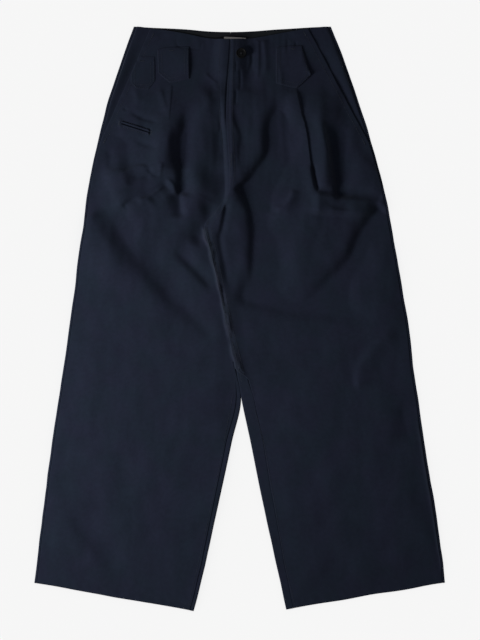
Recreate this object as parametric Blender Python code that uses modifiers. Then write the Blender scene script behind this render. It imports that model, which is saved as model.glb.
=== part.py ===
"""Wide-leg pleated trousers laid flat with the front up.

Every cut piece is a cloth wall of its own: two fronts, two backs that fold round to the front at the
seams, the pocket facings, the waist facing, the belt tabs, the coin pocket's welts, the label and the
button. Sizes are in millimetres, and MM turns them into metres. +X is to the right as seen from the
front, +Y is towards the waist and +Z is up from the surface that the trousers lie on.
"""

from collections import namedtuple
from math import cos, hypot, pi, sin

import bmesh
import bpy
import numpy as np
from mathutils import Vector
from mathutils.bvhtree import BVHTree

# Driving dimensions
MM = 0.001
CLOTH = 1.4
GAP = 0.3
HALF_GAP = 0.2
SIDE_LAP = 4.0
FOLD_RADIUS = GAP / 2
BACK_TOP = CLOTH
FRONT_REST = BACK_TOP + GAP
FACING_CLOTH = 1.0
LABEL_CLOTH = 0.4
TAB_CLOTH = 1.6
WAIST_LIFT = FACING_CLOTH + LABEL_CLOTH + 2 * GAP
WAIST_FLAT_ABOVE = 396.0
WAIST_FADE = 60.0
POCKET_TUCK = 8.0
POCKET_LIFT_REACH = 25.0
POCKET_FADE = 30.0
CROWN = 4.0
CROWN_REACH = 60.0
EDGE_ROUND = 24.0
ROWS_PER_SECTION = 2
FRONT_COLUMNS = 18
BACK_COLUMNS = 6
FOLD_STEPS = 4
BACK_WAIST_CENTRE_Y = 503.0
WAIST_CURVE_ROWS = 6
POCKET_END_ROW = 6
HIP_FACING_COLUMNS = 3
LEG_SPLIT_ROW = 15

# One row for each section across a leg, from the waist to the hem: where its outer edge lies, where
# its inner edge lies, where the back's seam runs beneath it, and how far the back folds round onto the
# front at the inseam. A lap of zero is a section above the place where the legs part.
Section = namedtuple("Section", "outer_x outer_y inner_x inner_y back_x lap")
LEFT_LEG = [
    Section(-185, 512, -18, 486, -18, 0),
    Section(-197, 480, -20, 460, -20, 0),
    Section(-209, 448, -22, 432, -22, 0),
    Section(-221, 413, -23, 401, -23, 0),
    Section(-232, 378, -23, 366, -23, 0),
    Section(-241, 343, -22, 331, -22, 0),
    Section(-249, 308, -20, 296, -20, 0),
    Section(-258, 270, -18, 259, -18, 0),
    Section(-265, 231, -18, 226, -18, 0),
    Section(-270, 196, -39, 194, -17, 0),
    Section(-274, 161, -62, 161, -16, 0),
    Section(-280, 121, -52, 119, -15, 0),
    Section(-288, 58, -38, 56, -13, 0),
    Section(-297, -5, -24, -9, -11, 0),
    Section(-306, -72, -8, -75, -8, 2.2),
    Section(-317, -138, 3, -140, 3, 7),
    Section(-328, -212, -13, -215, -13, 7),
    Section(-337, -282, -29, -290, -29, 7),
    Section(-346, -352, -46, -366, -46, 7),
    Section(-354, -413, -61, -436, -61, 7),
    Section(-360, -462, -80, -512, -80, 7),
]
RIGHT_LEG = [
    Section(160, 512, -18, 486, -18, 0),
    Section(173, 480, -20, 460, -20, 0),
    Section(185, 448, -22, 432, -22, 0),
    Section(197, 413, -23, 401, -23, 0),
    Section(209, 378, -23, 366, -23, 0),
    Section(221, 343, -22, 331, -22, 0),
    Section(231, 308, -20, 296, -20, 0),
    Section(242, 270, -18, 259, -18, 0),
    Section(252, 231, -18, 226, -18, 0),
    Section(260, 196, -39, 194, -17, 0),
    Section(266, 161, -62, 161, -16, 0),
    Section(273, 121, -52, 119, -15, 0),
    Section(284, 58, -38, 56, -13, 0),
    Section(295, -5, -24, -9, -11, 0),
    Section(304, -72, -8, -75, -8, 2.2),
    Section(313, -138, 3, -140, 3, 20),
    Section(323, -212, 19, -215, 19, 20),
    Section(335, -282, 34, -290, 34, 18),
    Section(346, -352, 50, -366, 50, 16),
    Section(354, -413, 66, -436, 66, 14),
    Section(360, -462, 81, -509, 81, 12),
]

# The slanted hip pocket openings, from the waist edge down to the side seam.
Line = namedtuple("Line", "x0 y0 x1 y1")
LEFT_POCKET = Line(-158, 502, -245, 308)
RIGHT_POCKET = Line(120, 506, 227, 308)

# One row for each pleat, fold and hollow of the fronts: a line from its start to its end, how far it
# bows to its left, its reach to its left and to its right, and how far it stands above the crown.
Fold = namedtuple("Fold", "name x0 y0 x1 y1 bow left_reach right_reach height")
FOLDS = [
    Fold("left pleat edge", -118, 408, -136, 257, 4, 4, 18, 7.5),
    Fold("left pleat hollow", -99, 362, -104, 214, 0, 9, 8, -8.0),
    Fold("left pleat inner ridge", -94, 320, -87, 182, 6, 9, 8, 7.0),
    Fold("left pleat ridge end", -87, 182, -97, 130, 0, 9, 8, 4.5),
    Fold("left thigh hollow", -57, 270, -87, 138, 8, 12, 9, -5.0),
    Fold("left fly hollow", -81, 418, -31, 345, 0, 9, 9, -3.0),
    Fold("left hip swell", -250, 250, -190, 200, 0, 24, 22, 5.0),
    Fold("left pleat crease", -157, 200, -125, 236, 4, 7, 7, -3.5),
    Fold("left thigh trough", -239, 191, -125, 47, 14, 13, 13, -6.0),
    Fold("left thigh trough end", -139, 60, -48, -40, 0, 14, 12, -4.0),
    Fold("left crotch trough", -118, 121, -41, 47, 4, 8, 8, -5.0),
    Fold("left hem trough", -297, -326, -235, -431, 6, 11, 11, -3.5),
    Fold("left knee trough", -300, -196, -296, -282, 0, 12, 12, -2.0),
    Fold("inseam ridge", -62, 161, -10, -80, -4, 5, 6, 3.0),
    Fold("right fly hollow", 62, 374, 39, 287, 0, 8, 8, -6.0),
    Fold("right fly hollow end", 39, 287, -8, 231, 5, 8, 7, -6.0),
    Fold("right crotch hollow", 8, 228, 22, 33, 3, 7, 6, -7.0),
    Fold("right crotch ridge", 32, 214, 40, 51, 0, 15, 7, 5.0),
    Fold("right pleat edge", 101, 404, 139, 217, 3, 16, 3, 7.5),
    Fold("right pleat hollow", 143, 357, 169, 226, 0, 9, 9, -8.0),
    Fold("right pleat hollow end", 137, 212, 188, 202, 0, 9, 9, -5.0),
    Fold("right hip ridge", 187, 331, 200, 226, 0, 15, 12, 4.5),
    Fold("right thigh crease", 80, 200, 106, 226, 3, 6, 6, 3.0),
    Fold("right thigh trough", 237, 191, 123, 39, -16, 10, 10, -5.0),
    Fold("right knee trough", 32, 19, 237, -5, 0, 12, 12, -4.0),
    Fold("right side trough", 281, -19, 211, -133, 14, 10, 10, -3.5),
    Fold("right leg trough", 281, -142, 284, -212, 0, 12, 12, -2.0),
]
FOLD_SAMPLES = 13
FOLD_TAPER = 0.22
FOLD_END_SHARE = 0.25
FOLD_CUTOFF = 3.0

# Belt tabs: one row for each upright section, with its x and the y of its upper and lower edges.
TabSection = namedtuple("TabSection", "x top_y bottom_y")
BELT_TAB_LEFT = [
    TabSection(-143, 473, 431),
    TabSection(-133, 475, 422),
    TabSection(-122, 476, 413),
    TabSection(-105, 476, 416),
    TabSection(-88, 476, 420),
]
BELT_TAB_RIGHT = [
    TabSection(64, 475, 412),
    TabSection(76, 477, 409),
    TabSection(88, 478, 406),
    TabSection(101, 479, 404),
    TabSection(108, 479, 410),
    TabSection(124, 431, 426),
]
SIDE_TAB_LEFT = [
    TabSection(-191, 424, 413),
    TabSection(-181, 452, 402),
    TabSection(-172, 461, 401),
    TabSection(-160, 461, 401),
    TabSection(-148, 460, 417),
]
TAB_ROWS = 6
TAB_ARCH = 2.0

# Coin pocket on the left front
COIN_CENTRE = (-183.0, 334.0)
COIN_LENGTH = 52.0
COIN_WELT_HEIGHT = 5.6
COIN_SLIT = 0.6
COIN_TILT = -0.34
COIN_CLOTH = 1.0
COIN_COLUMNS = 8
COIN_ROWS = 2
COIN_CLEARANCE = 0.45

WAIST_FACING_LEFT_X = -147.0
WAIST_FACING_RIGHT_X = 108.0
WAIST_FACING_HEIGHT = 50.0
WAIST_FACING_INSET = 2.0
WAIST_FACING_COLUMNS = 10

LABEL_CENTRE_X = -8.0
LABEL_TOP_Y = 496.0
LABEL_WIDTH = 38.0
LABEL_HEIGHT = 16.0

BUTTON_CENTRE = (3.0, 464.0)
BUTTON_RADIUS = 9.0
BUTTON_HEIGHT = 3.4
BUTTON_RIM = 1.6
BUTTON_DISH = 0.9
BUTTON_HOLE_RADIUS = 0.95
BUTTON_HOLE_SPREAD = 2.1
BUTTON_HOLES = 4
BUTTON_HOLE_SIDES = 12
BUTTON_STEPS = 36

NAVY_TWILL = (0.0140, 0.0180, 0.0320, 1.0)
NAVY_INSIDE = (0.0110, 0.0130, 0.0180, 1.0)
LABEL_CREAM = (0.5200, 0.4900, 0.4600, 1.0)
BUTTON_BLACK = (0.0060, 0.0060, 0.0080, 1.0)


def smooth(value):
    """Zero below 0, one above 1, and an even curve between."""
    value = np.clip(value, 0.0, 1.0)
    return value * value * (3.0 - 2.0 * value)


def line_distance(x, y, points):
    """How far x, y lies from a polyline, which side it lies on and how far along the nearest place is."""
    best = (1e9, 1.0, 0.0)
    spans = len(points) - 1
    for index in range(spans):
        (ax, ay), (bx, by) = points[index], points[index + 1]
        dx, dy = bx - ax, by - ay
        share = ((x - ax) * dx + (y - ay) * dy) / (dx * dx + dy * dy)
        share = min(max(share, 0.0), 1.0)
        away = hypot(x - ax - share * dx, y - ay - share * dy)
        if away < best[0]:
            side = dx * (y - ay) - dy * (x - ax)
            best = (away, side, (index + share) / spans)
    return best


def fold_line(fold):
    """The fold's line as points on an arc that bows to the left of the way from start to end."""
    dx, dy = fold.x1 - fold.x0, fold.y1 - fold.y0
    length = hypot(dx, dy)
    points = []
    for step in range(FOLD_SAMPLES):
        share = step / (FOLD_SAMPLES - 1)
        bow = 4.0 * share * (1.0 - share) * fold.bow / length
        points.append((fold.x0 + share * dx - bow * dy, fold.y0 + share * dy + bow * dx))
    return points


FOLD_LINES = [(fold, fold_line(fold)) for fold in FOLDS]


def outlines():
    """The edges where the cloth comes down to the surface: outseams, inner legs and hems."""
    lines = []
    for leg in (LEFT_LEG, RIGHT_LEG):
        lines.append([(row.outer_x, row.outer_y) for row in leg])
        lines.append([(row.inner_x, row.inner_y) for row in leg[LEG_SPLIT_ROW:]])
        hem = leg[-1]
        lines.append([(hem.outer_x, hem.outer_y), (hem.inner_x, hem.inner_y)])
    return lines


OUTLINES = outlines()


def edge_distance(x, y):
    return min(line_distance(x, y, line)[0] for line in OUTLINES)


def waist_share(y):
    """One over the flat waist, where facings and tabs lie, and zero below it."""
    return smooth((y - WAIST_FLAT_ABOVE + WAIST_FADE) / WAIST_FADE)


def pocket_share(x, y):
    """One beside a hip pocket's opening, where the facing is tucked under, and zero away from it."""
    away = min(
        line_distance(x, y, [(line.x0, line.y0), (line.x1, line.y1)])[0]
        for line in (LEFT_POCKET, RIGHT_POCKET)
    )
    return smooth(1.0 - (away - POCKET_LIFT_REACH) / POCKET_FADE)


def fold_height(x, y):
    """The sum of all pleats, folds and hollows at x, y."""
    total = 0.0
    for fold, points in FOLD_LINES:
        away, side, share = line_distance(x, y, points)
        reach = fold.left_reach if side > 0 else fold.right_reach
        if away > FOLD_CUTOFF * reach:
            continue
        taper = smooth(share / FOLD_TAPER) * smooth((1.0 - share) / FOLD_TAPER)
        swell = FOLD_END_SHARE + (1.0 - FOLD_END_SHARE) * taper
        total += fold.height * swell * np.exp(-((away / reach) ** 2))
    return total


def front_height(x, y):
    """Height of the underside of the top layer of cloth."""
    edge = edge_distance(x, y)
    waist = waist_share(y)
    pocket = pocket_share(x, y)
    crown = CROWN * smooth(edge / CROWN_REACH)
    shape = (crown + fold_height(x, y)) * smooth(edge / EDGE_ROUND)
    shape = max(shape, 0.0) * (1.0 - waist)
    return FRONT_REST + WAIST_LIFT * max(waist, pocket) + shape


def section_point(row, away, curve):
    """The point of a section at a distance from its outer edge; curve bends a section at the waist."""
    width = hypot(row.inner_x - row.outer_x, row.inner_y - row.outer_y)
    share = away / width
    bent = curve * float(smooth(share)) + (1.0 - curve) * share
    x = row.outer_x + share * (row.inner_x - row.outer_x)
    y = row.outer_y + bent * (row.inner_y - row.outer_y)
    return x, y


def section_width(row):
    return hypot(row.inner_x - row.outer_x, row.inner_y - row.outer_y)


def waist_curve(index):
    return max(0.0, 1.0 - index / WAIST_CURVE_ROWS)


def pocket_distance(row, pocket):
    """How far along a section, from its outer edge, the pocket opening crosses it."""
    ex, ey = row.inner_x - row.outer_x, row.inner_y - row.outer_y
    px, py = pocket.x1 - pocket.x0, pocket.y1 - pocket.y0
    cross = ex * py - ey * px
    share = ((pocket.x0 - row.outer_x) * py - (pocket.y0 - row.outer_y) * px) / cross
    return share * section_width(row)


def front_limits(leg, pocket, index):
    """Where a front starts and ends along a section: at the pocket or side seam, and at the inseam."""
    row = leg[index]
    start = SIDE_LAP + HALF_GAP
    if index < POCKET_END_ROW:
        start = max(start, pocket_distance(row, pocket))
    lap = row.lap + HALF_GAP if row.lap else HALF_GAP
    return start, section_width(row) - lap


def between_rows(first, second, share):
    return [(1.0 - share) * a + share * b for a, b in zip(first, second)]


def subdivide(rows, steps):
    """More rows of plan points, evenly between the rows given."""
    finer = []
    for upper, lower in zip(rows, rows[1:]):
        for step in range(steps):
            share = step / steps
            finer.append([between_rows(a, b, share) for a, b in zip(upper, lower)])
    finer.append(rows[-1])
    return finer


def new_collection(name):
    collection = bpy.data.collections.new(name)
    bpy.context.scene.collection.children.link(collection)
    return collection


def new_material(name, colour, roughness):
    material = bpy.data.materials.new(name)
    material.use_nodes = True
    shader = material.node_tree.nodes["Principled BSDF"]
    shader.inputs["Base Color"].default_value = colour
    shader.inputs["Roughness"].default_value = roughness
    shader.inputs["Metallic"].default_value = 0.0
    material.diffuse_color = colour
    return material


def cloth_wall(name, grid, thickness, collection, material):
    """A wall of cloth. The grid holds rows of (point, outward direction), or None where there is no cloth."""
    mesh = bmesh.new()
    outward = mesh.verts.layers.float_vector.new("outward")
    rows = []
    for line in grid:
        made = []
        for entry in line:
            if entry is None:
                made.append(None)
                continue
            point, direction = entry
            vertex = mesh.verts.new(Vector(point) * MM)
            vertex[outward] = Vector(direction)
            made.append(vertex)
        rows.append(made)
    for upper, lower in zip(rows, rows[1:]):
        for column in range(len(upper) - 1):
            corners = [upper[column], lower[column], lower[column + 1], upper[column + 1]]
            if None not in corners:
                mesh.faces.new(corners)
    loose = [vertex for vertex in mesh.verts if not vertex.link_faces]
    bmesh.ops.delete(mesh, geom=loose, context="VERTS")
    grown = bmesh.ops.extrude_face_region(mesh, geom=mesh.faces[:])
    for item in grown["geom"]:
        if isinstance(item, bmesh.types.BMVert):
            item.co += item[outward].normalized() * thickness * MM
    bmesh.ops.recalc_face_normals(mesh, faces=mesh.faces[:])
    bmesh.ops.triangulate(mesh, faces=mesh.faces[:], quad_method="FIXED")
    data = bpy.data.meshes.new(name)
    mesh.to_mesh(data)
    mesh.free()
    data.materials.append(material)
    piece = bpy.data.objects.new(name, data)
    collection.objects.link(piece)
    return piece


def lifted(x, y, z):
    """A grid entry whose wall grows upwards."""
    return (x, y, z), (0.0, 0.0, 1.0)


def make_front(name, leg, pocket, collection, material):
    rows = []
    for index, row in enumerate(leg):
        start, end = front_limits(leg, pocket, index)
        step = (end - start) / FRONT_COLUMNS
        curve = waist_curve(index)
        rows.append([section_point(row, start + step * n, curve) for n in range(FRONT_COLUMNS + 1)])
    rows = subdivide(rows, ROWS_PER_SECTION)
    grid = [[lifted(x, y, front_height(x, y)) for x, y in line] for line in rows]
    return cloth_wall(name, grid, CLOTH, collection, material)


def fold_round(row, curve, edge, inwards, top):
    """The fold at one edge of a back, from its lower layer up to its upper layer.

    Edge is the fold's place along the section, and inwards is the way along it into the cloth.
    """
    centre = edge + inwards * (FOLD_RADIUS + CLOTH)
    width = section_width(row)
    ex, ey = (row.inner_x - row.outer_x) / width, (row.inner_y - row.outer_y) / width
    middle, half = (top + BACK_TOP) / 2, (top - BACK_TOP) / 2
    entries = []
    for step in range(FOLD_STEPS + 1):
        angle = pi * step / FOLD_STEPS
        out = -inwards * sin(angle)
        x, y = section_point(row, centre + out * FOLD_RADIUS, curve)
        direction = (ex * out, ey * out, -cos(angle))
        entries.append(((x, y, middle - half * cos(angle)), direction))
    return entries


def back_section(leg, index):
    """One section of a back: the side lap, the side fold, the lower layer, and the inseam fold and lap."""
    row = leg[index]
    row = row._replace(inner_x=row.back_x)
    curve = waist_curve(index)
    if index == 0:
        row = row._replace(inner_y=BACK_WAIST_CENTRE_Y)
    width = section_width(row)
    turn = FOLD_RADIUS + CLOTH
    side_x, side_y = section_point(row, SIDE_LAP - HALF_GAP, curve)
    entries = [lifted(side_x, side_y, FRONT_REST)]
    entries += reversed(fold_round(row, curve, 0.0, 1.0, FRONT_REST))
    end = width - HALF_GAP - turn if row.lap else width - HALF_GAP
    for column in range(1, BACK_COLUMNS):
        x, y = section_point(row, turn + (end - turn) * column / BACK_COLUMNS, curve)
        entries.append(((x, y, BACK_TOP), (0.0, 0.0, -1.0)))
    if not row.lap:
        x, y = section_point(row, end, curve)
        return entries + [((x, y, BACK_TOP), (0.0, 0.0, -1.0))] + [None] * (FOLD_STEPS + 1)
    x, y = section_point(row, width - row.lap + HALF_GAP, curve)
    top = front_height(x, y)
    entries += fold_round(row, curve, width - HALF_GAP, -1.0, top)
    return entries + [lifted(x, y, top)]


def make_back(name, leg, collection, material):
    grid = [back_section(leg, index) for index in range(len(leg))]
    return cloth_wall(name, grid, CLOTH, collection, material)


def make_hip_facing(name, leg, pocket, collection, material):
    """The cloth beyond a slanted pocket opening, tucked under the front's edge."""
    grid = []
    for index in range(POCKET_END_ROW + 1):
        row = leg[index]
        start = SIDE_LAP + HALF_GAP
        end = max(pocket_distance(row, pocket), start) + POCKET_TUCK
        line = []
        for column in range(HIP_FACING_COLUMNS + 1):
            away = start + (end - start) * column / HIP_FACING_COLUMNS
            x, y = section_point(row, away, waist_curve(index))
            line.append(lifted(x, y, FRONT_REST))
        grid.append(line)
    return cloth_wall(name, grid, CLOTH, collection, material)


def make_waist_facing(collection, material):
    """The band inside the back waist, which shows above the front waist edge."""
    grid = []
    for drop in (0.0, WAIST_FACING_HEIGHT / 2, WAIST_FACING_HEIGHT):
        line = []
        for column in range(WAIST_FACING_COLUMNS + 1):
            share = column / WAIST_FACING_COLUMNS
            x = WAIST_FACING_LEFT_X + share * (WAIST_FACING_RIGHT_X - WAIST_FACING_LEFT_X)
            leg = LEFT_LEG[0] if x < LEFT_LEG[0].inner_x else RIGHT_LEG[0]
            reach = (x - leg.outer_x) / (leg.inner_x - leg.outer_x)
            dip = float(smooth(reach)) * (leg.outer_y - BACK_WAIST_CENTRE_Y)
            line.append(lifted(x, leg.outer_y - dip - WAIST_FACING_INSET - drop, FRONT_REST))
        grid.append(line)
    return cloth_wall("waist_facing", grid, FACING_CLOTH, collection, material)


def make_belt_tab(name, sections, collection, material):
    """A pointed tab, sewn at its upper and lower edges and arched a little between them."""
    base = FRONT_REST + WAIST_LIFT + CLOTH + GAP
    grid = []
    for step in range(TAB_ROWS + 1):
        share = step / TAB_ROWS
        arch = TAB_ARCH * sin(pi * share)
        line = []
        for section in sections:
            y = section.top_y + share * (section.bottom_y - section.top_y)
            line.append(lifted(section.x, y, base + arch))
        grid.append(line)
    return cloth_wall(name, grid, TAB_CLOTH, collection, material)


def surface_finder(piece):
    """A function that gives the height of a piece's upper face at x, y."""
    graph = bpy.context.evaluated_depsgraph_get()
    tree = BVHTree.FromObject(piece, graph)

    def height(x, y):
        hit = tree.ray_cast(Vector((x * MM, y * MM, 1.0)), Vector((0.0, 0.0, -1.0)))
        return hit[0].z / MM

    return height


def make_coin_welt(name, side, height_at, collection, material):
    """One welt of the jetted coin pocket: side is 1 above the slit and -1 below it."""
    ex, ey = cos(COIN_TILT), sin(COIN_TILT)
    grid = []
    for step in range(COIN_ROWS + 1):
        across = side * (COIN_SLIT / 2 + COIN_WELT_HEIGHT * step / COIN_ROWS)
        line = []
        for column in range(COIN_COLUMNS + 1):
            along = COIN_LENGTH * (column / COIN_COLUMNS - 0.5)
            x = COIN_CENTRE[0] + along * ex - across * ey
            y = COIN_CENTRE[1] + along * ey + across * ex
            line.append(lifted(x, y, height_at(x, y) + COIN_CLEARANCE))
        grid.append(line)
    return cloth_wall(name, grid, COIN_CLOTH, collection, material)


def make_label(collection, material):
    base = FRONT_REST + FACING_CLOTH + GAP
    left = LABEL_CENTRE_X - LABEL_WIDTH / 2
    right = LABEL_CENTRE_X + LABEL_WIDTH / 2
    grid = [
        [lifted(x, y, base) for x in (left, LABEL_CENTRE_X, right)]
        for y in (LABEL_TOP_Y, LABEL_TOP_Y - LABEL_HEIGHT)
    ]
    return cloth_wall("label", grid, LABEL_CLOTH, collection, material)


def make_button(collection, cutters, material):
    """A turned four-hole button on the right front's waist."""
    dished = BUTTON_HEIGHT - BUTTON_DISH
    profile = [
        (0.0, dished),
        (BUTTON_RADIUS - 2 * BUTTON_RIM, dished),
        (BUTTON_RADIUS - BUTTON_RIM, BUTTON_HEIGHT),
        (BUTTON_RADIUS - BUTTON_RIM / 2, BUTTON_HEIGHT),
        (BUTTON_RADIUS, BUTTON_HEIGHT - BUTTON_RIM / 2),
        (BUTTON_RADIUS, BUTTON_RIM / 2),
        (BUTTON_RADIUS - BUTTON_RIM / 2, 0.0),
        (0.0, 0.0),
    ]
    data = bpy.data.meshes.new("button")
    points = [(radius * MM, 0.0, height * MM) for radius, height in profile]
    data.from_pydata(points, [(n, n + 1) for n in range(len(points) - 1)], [])
    data.materials.append(material)
    button = bpy.data.objects.new("button", data)
    seat = FRONT_REST + WAIST_LIFT + CLOTH + GAP
    button.location = (BUTTON_CENTRE[0] * MM, BUTTON_CENTRE[1] * MM, seat * MM)
    collection.objects.link(button)
    screw = button.modifiers.new("turn", "SCREW")
    screw.steps = BUTTON_STEPS
    screw.render_steps = BUTTON_STEPS
    screw.use_merge_vertices = True
    screw.merge_threshold = 0.00001
    for index in range(BUTTON_HOLES):
        angle = (2 * index + 1) * pi / BUTTON_HOLES
        cutter_mesh = bpy.data.meshes.new(f"button_hole_{index + 1}")
        cutter = bpy.data.objects.new(f"button_hole_{index + 1}", cutter_mesh)
        shape = bmesh.new()
        bmesh.ops.create_cone(
            shape,
            cap_ends=True,
            segments=BUTTON_HOLE_SIDES,
            radius1=BUTTON_HOLE_RADIUS * MM,
            radius2=BUTTON_HOLE_RADIUS * MM,
            depth=2 * BUTTON_HEIGHT * MM,
        )
        shape.to_mesh(cutter_mesh)
        shape.free()
        cutter.location = button.location + Vector(
            (
                BUTTON_HOLE_SPREAD * cos(angle) * MM,
                BUTTON_HOLE_SPREAD * sin(angle) * MM,
                BUTTON_HEIGHT / 2 * MM,
            )
        )
        cutter.hide_render = True
        cutter.display_type = "WIRE"
        cutters.objects.link(cutter)
        hole = button.modifiers.new(f"hole_{index + 1}", "BOOLEAN")
        hole.operation = "DIFFERENCE"
        hole.object = cutter
    return button


def main():
    for old in list(bpy.data.objects):
        bpy.data.objects.remove(old)
    trousers = new_collection("pleated_trousers")
    cutters = new_collection("cutters")
    twill = {
        name: new_material(name, NAVY_TWILL, 0.85)
        for name in ("front_twill", "back_twill", "facing_twill", "tab_twill", "welt_twill")
    }
    inside = new_material("inside_twill", NAVY_INSIDE, 0.9)
    front_left = make_front("front_left", LEFT_LEG, LEFT_POCKET, trousers, twill["front_twill"])
    make_front("front_right", RIGHT_LEG, RIGHT_POCKET, trousers, twill["front_twill"])
    make_back("back_left", LEFT_LEG, trousers, twill["back_twill"])
    make_back("back_right", RIGHT_LEG, trousers, twill["back_twill"])
    make_hip_facing("hip_facing_left", LEFT_LEG, LEFT_POCKET, trousers, twill["facing_twill"])
    make_hip_facing("hip_facing_right", RIGHT_LEG, RIGHT_POCKET, trousers, twill["facing_twill"])
    make_waist_facing(trousers, inside)
    make_belt_tab("belt_tab_left", BELT_TAB_LEFT, trousers, twill["tab_twill"])
    make_belt_tab("belt_tab_right", BELT_TAB_RIGHT, trousers, twill["tab_twill"])
    make_belt_tab("side_tab_left", SIDE_TAB_LEFT, trousers, twill["tab_twill"])
    bpy.context.view_layer.update()
    height_at = surface_finder(front_left)
    make_coin_welt("coin_welt_upper", 1.0, height_at, trousers, twill["welt_twill"])
    make_coin_welt("coin_welt_lower", -1.0, height_at, trousers, twill["welt_twill"])
    make_label(trousers, new_material("label_weave", LABEL_CREAM, 0.8))
    make_button(trousers, cutters, new_material("button_horn", BUTTON_BLACK, 0.35))


if __name__ == "__main__":
    main()
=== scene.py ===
"""Dresses the laid-flat pleated trousers with cloth shells, seams, stitching, finishes and a studio.

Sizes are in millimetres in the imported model's frame: +X to the right seen from the front, +Y towards
the waist and +Z up from the floor. MM turns them into metres.
"""
import logging
from collections.abc import Callable, Iterable
from dataclasses import dataclass
from enum import Enum
from math import cos, pi, radians, sin
from typing import NamedTuple, Self

import bmesh
import bpy
import numpy as np
from bpy.types import Material, Node, NodeSocket, NodeTree, Object
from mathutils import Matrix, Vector, noise


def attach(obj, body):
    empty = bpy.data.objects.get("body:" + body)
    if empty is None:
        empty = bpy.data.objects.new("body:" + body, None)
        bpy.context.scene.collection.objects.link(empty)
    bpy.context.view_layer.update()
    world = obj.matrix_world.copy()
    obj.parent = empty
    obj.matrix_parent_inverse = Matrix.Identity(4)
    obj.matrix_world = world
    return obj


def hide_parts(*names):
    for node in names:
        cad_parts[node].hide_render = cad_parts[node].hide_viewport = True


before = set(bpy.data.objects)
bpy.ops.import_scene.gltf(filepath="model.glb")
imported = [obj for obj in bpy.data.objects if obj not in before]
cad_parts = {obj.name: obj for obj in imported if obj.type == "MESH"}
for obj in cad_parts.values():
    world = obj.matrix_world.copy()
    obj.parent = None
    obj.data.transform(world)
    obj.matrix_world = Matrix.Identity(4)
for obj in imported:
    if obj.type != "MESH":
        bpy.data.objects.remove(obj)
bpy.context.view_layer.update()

LOG = logging.getLogger("trousers")
Array = np.ndarray
Point = tuple[float, float]
Colour = tuple[float, float, float]

# Cloth and layers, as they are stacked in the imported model
MM = 0.001
CLOTH = 1.4
GAP = 0.3
HALF_GAP = 0.2
SIDE_LAP = 4.0
FOLD_RADIUS = GAP / 2
BACK_TOP = CLOTH
FRONT_REST = BACK_TOP + GAP
FACING_CLOTH = 1.0
LABEL_CLOTH = 0.4
WAIST_LIFT = FACING_CLOTH + LABEL_CLOTH + 2 * GAP

# Where the legs part and the hip pockets end, as rows of the leg plans, and the middle of the back waist
SPLIT_ROW = 14.0
POCKET_END_ROW = 6.0
BACK_WAIST_Y = 503.0

# How many times its reach a fold or a ripple is felt away from its line
CUTOFF = 3.0

# A stitch's five points: where they lie along it, how high they stand and how thick its thread is there
STITCH_REACH = np.array([-1.0, -0.7, 0.0, 0.7, 1.0])
STITCH_RISE = np.array([-0.7, 0.35, 0.7, 0.35, -0.7])
STITCH_WIDTH = np.array([0.45, 0.95, 1.0, 0.95, 0.45])


class Side(Enum):
    """Which side of the photograph a piece lies on."""

    LEFT = "left"
    RIGHT = "right"


class Section(NamedTuple):
    """One section across a leg: its outer edge, its inner edge, the back's seam and the inseam lap."""

    outer_x: float
    outer_y: float
    inner_x: float
    inner_y: float
    back_x: float
    lap: float


def smooth(value: Array) -> Array:
    """Zero below 0, one above 1, and an even curve between.

    Args:
        value: Any number or array.

    Returns:
        The eased share.
    """
    value = np.clip(value, 0.0, 1.0)
    return value * value * (3.0 - 2.0 * value)


def monotone(values: Array, at: Array) -> Array:
    """Reads a smooth curve through numbered values that never overshoots them.

    Args:
        values: One value for each whole number from zero.
        at: The numbers, whole or not, to read the curve at.

    Returns:
        The curve's values.
    """
    values = np.asarray(values, float)
    step = np.diff(values)
    before, after = step[:-1], step[1:]
    total = before + after
    same = before * after > 0
    slope = np.zeros_like(values)
    slope[1:-1] = np.where(same, 2 * before * after / np.where(same, total, 1.0), 0.0)
    slope[0], slope[-1] = step[0], step[-1]
    low = np.clip(np.asarray(at).astype(int), 0, len(values) - 2)
    t = at - low
    return (
        values[low] * (1 + 2 * t) * (1 - t) ** 2
        + slope[low] * t * (1 - t) ** 2
        + values[low + 1] * t * t * (3 - 2 * t)
        + slope[low + 1] * t * t * (t - 1)
    )


def curve_through(path: tuple[Point, ...], steps: int) -> Array:
    """A smooth curve through a few points.

    Args:
        path: The points, in order.
        steps: How many pieces each span is cut into.

    Returns:
        The curve's points, one a row.
    """
    points = np.asarray(path, float)
    if len(points) < 3:
        share = np.linspace(0.0, 1.0, steps + 1)[:, None]
        return points[0] * (1 - share) + points[-1] * share
    padded = np.vstack([2 * points[0] - points[1], points, 2 * points[-1] - points[-2]])
    t = (np.arange(steps) / steps)[:, None]
    spans = []
    for a, b, c, d in zip(padded, padded[1:], padded[2:], padded[3:]):
        bend, twist = 2 * a - 5 * b + 4 * c - d, 3 * b - a - 3 * c + d
        spans.append(0.5 * (2 * b + (c - a) * t + bend * t**2 + twist * t**3))
    return np.vstack([*spans, points[-1]])


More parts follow.
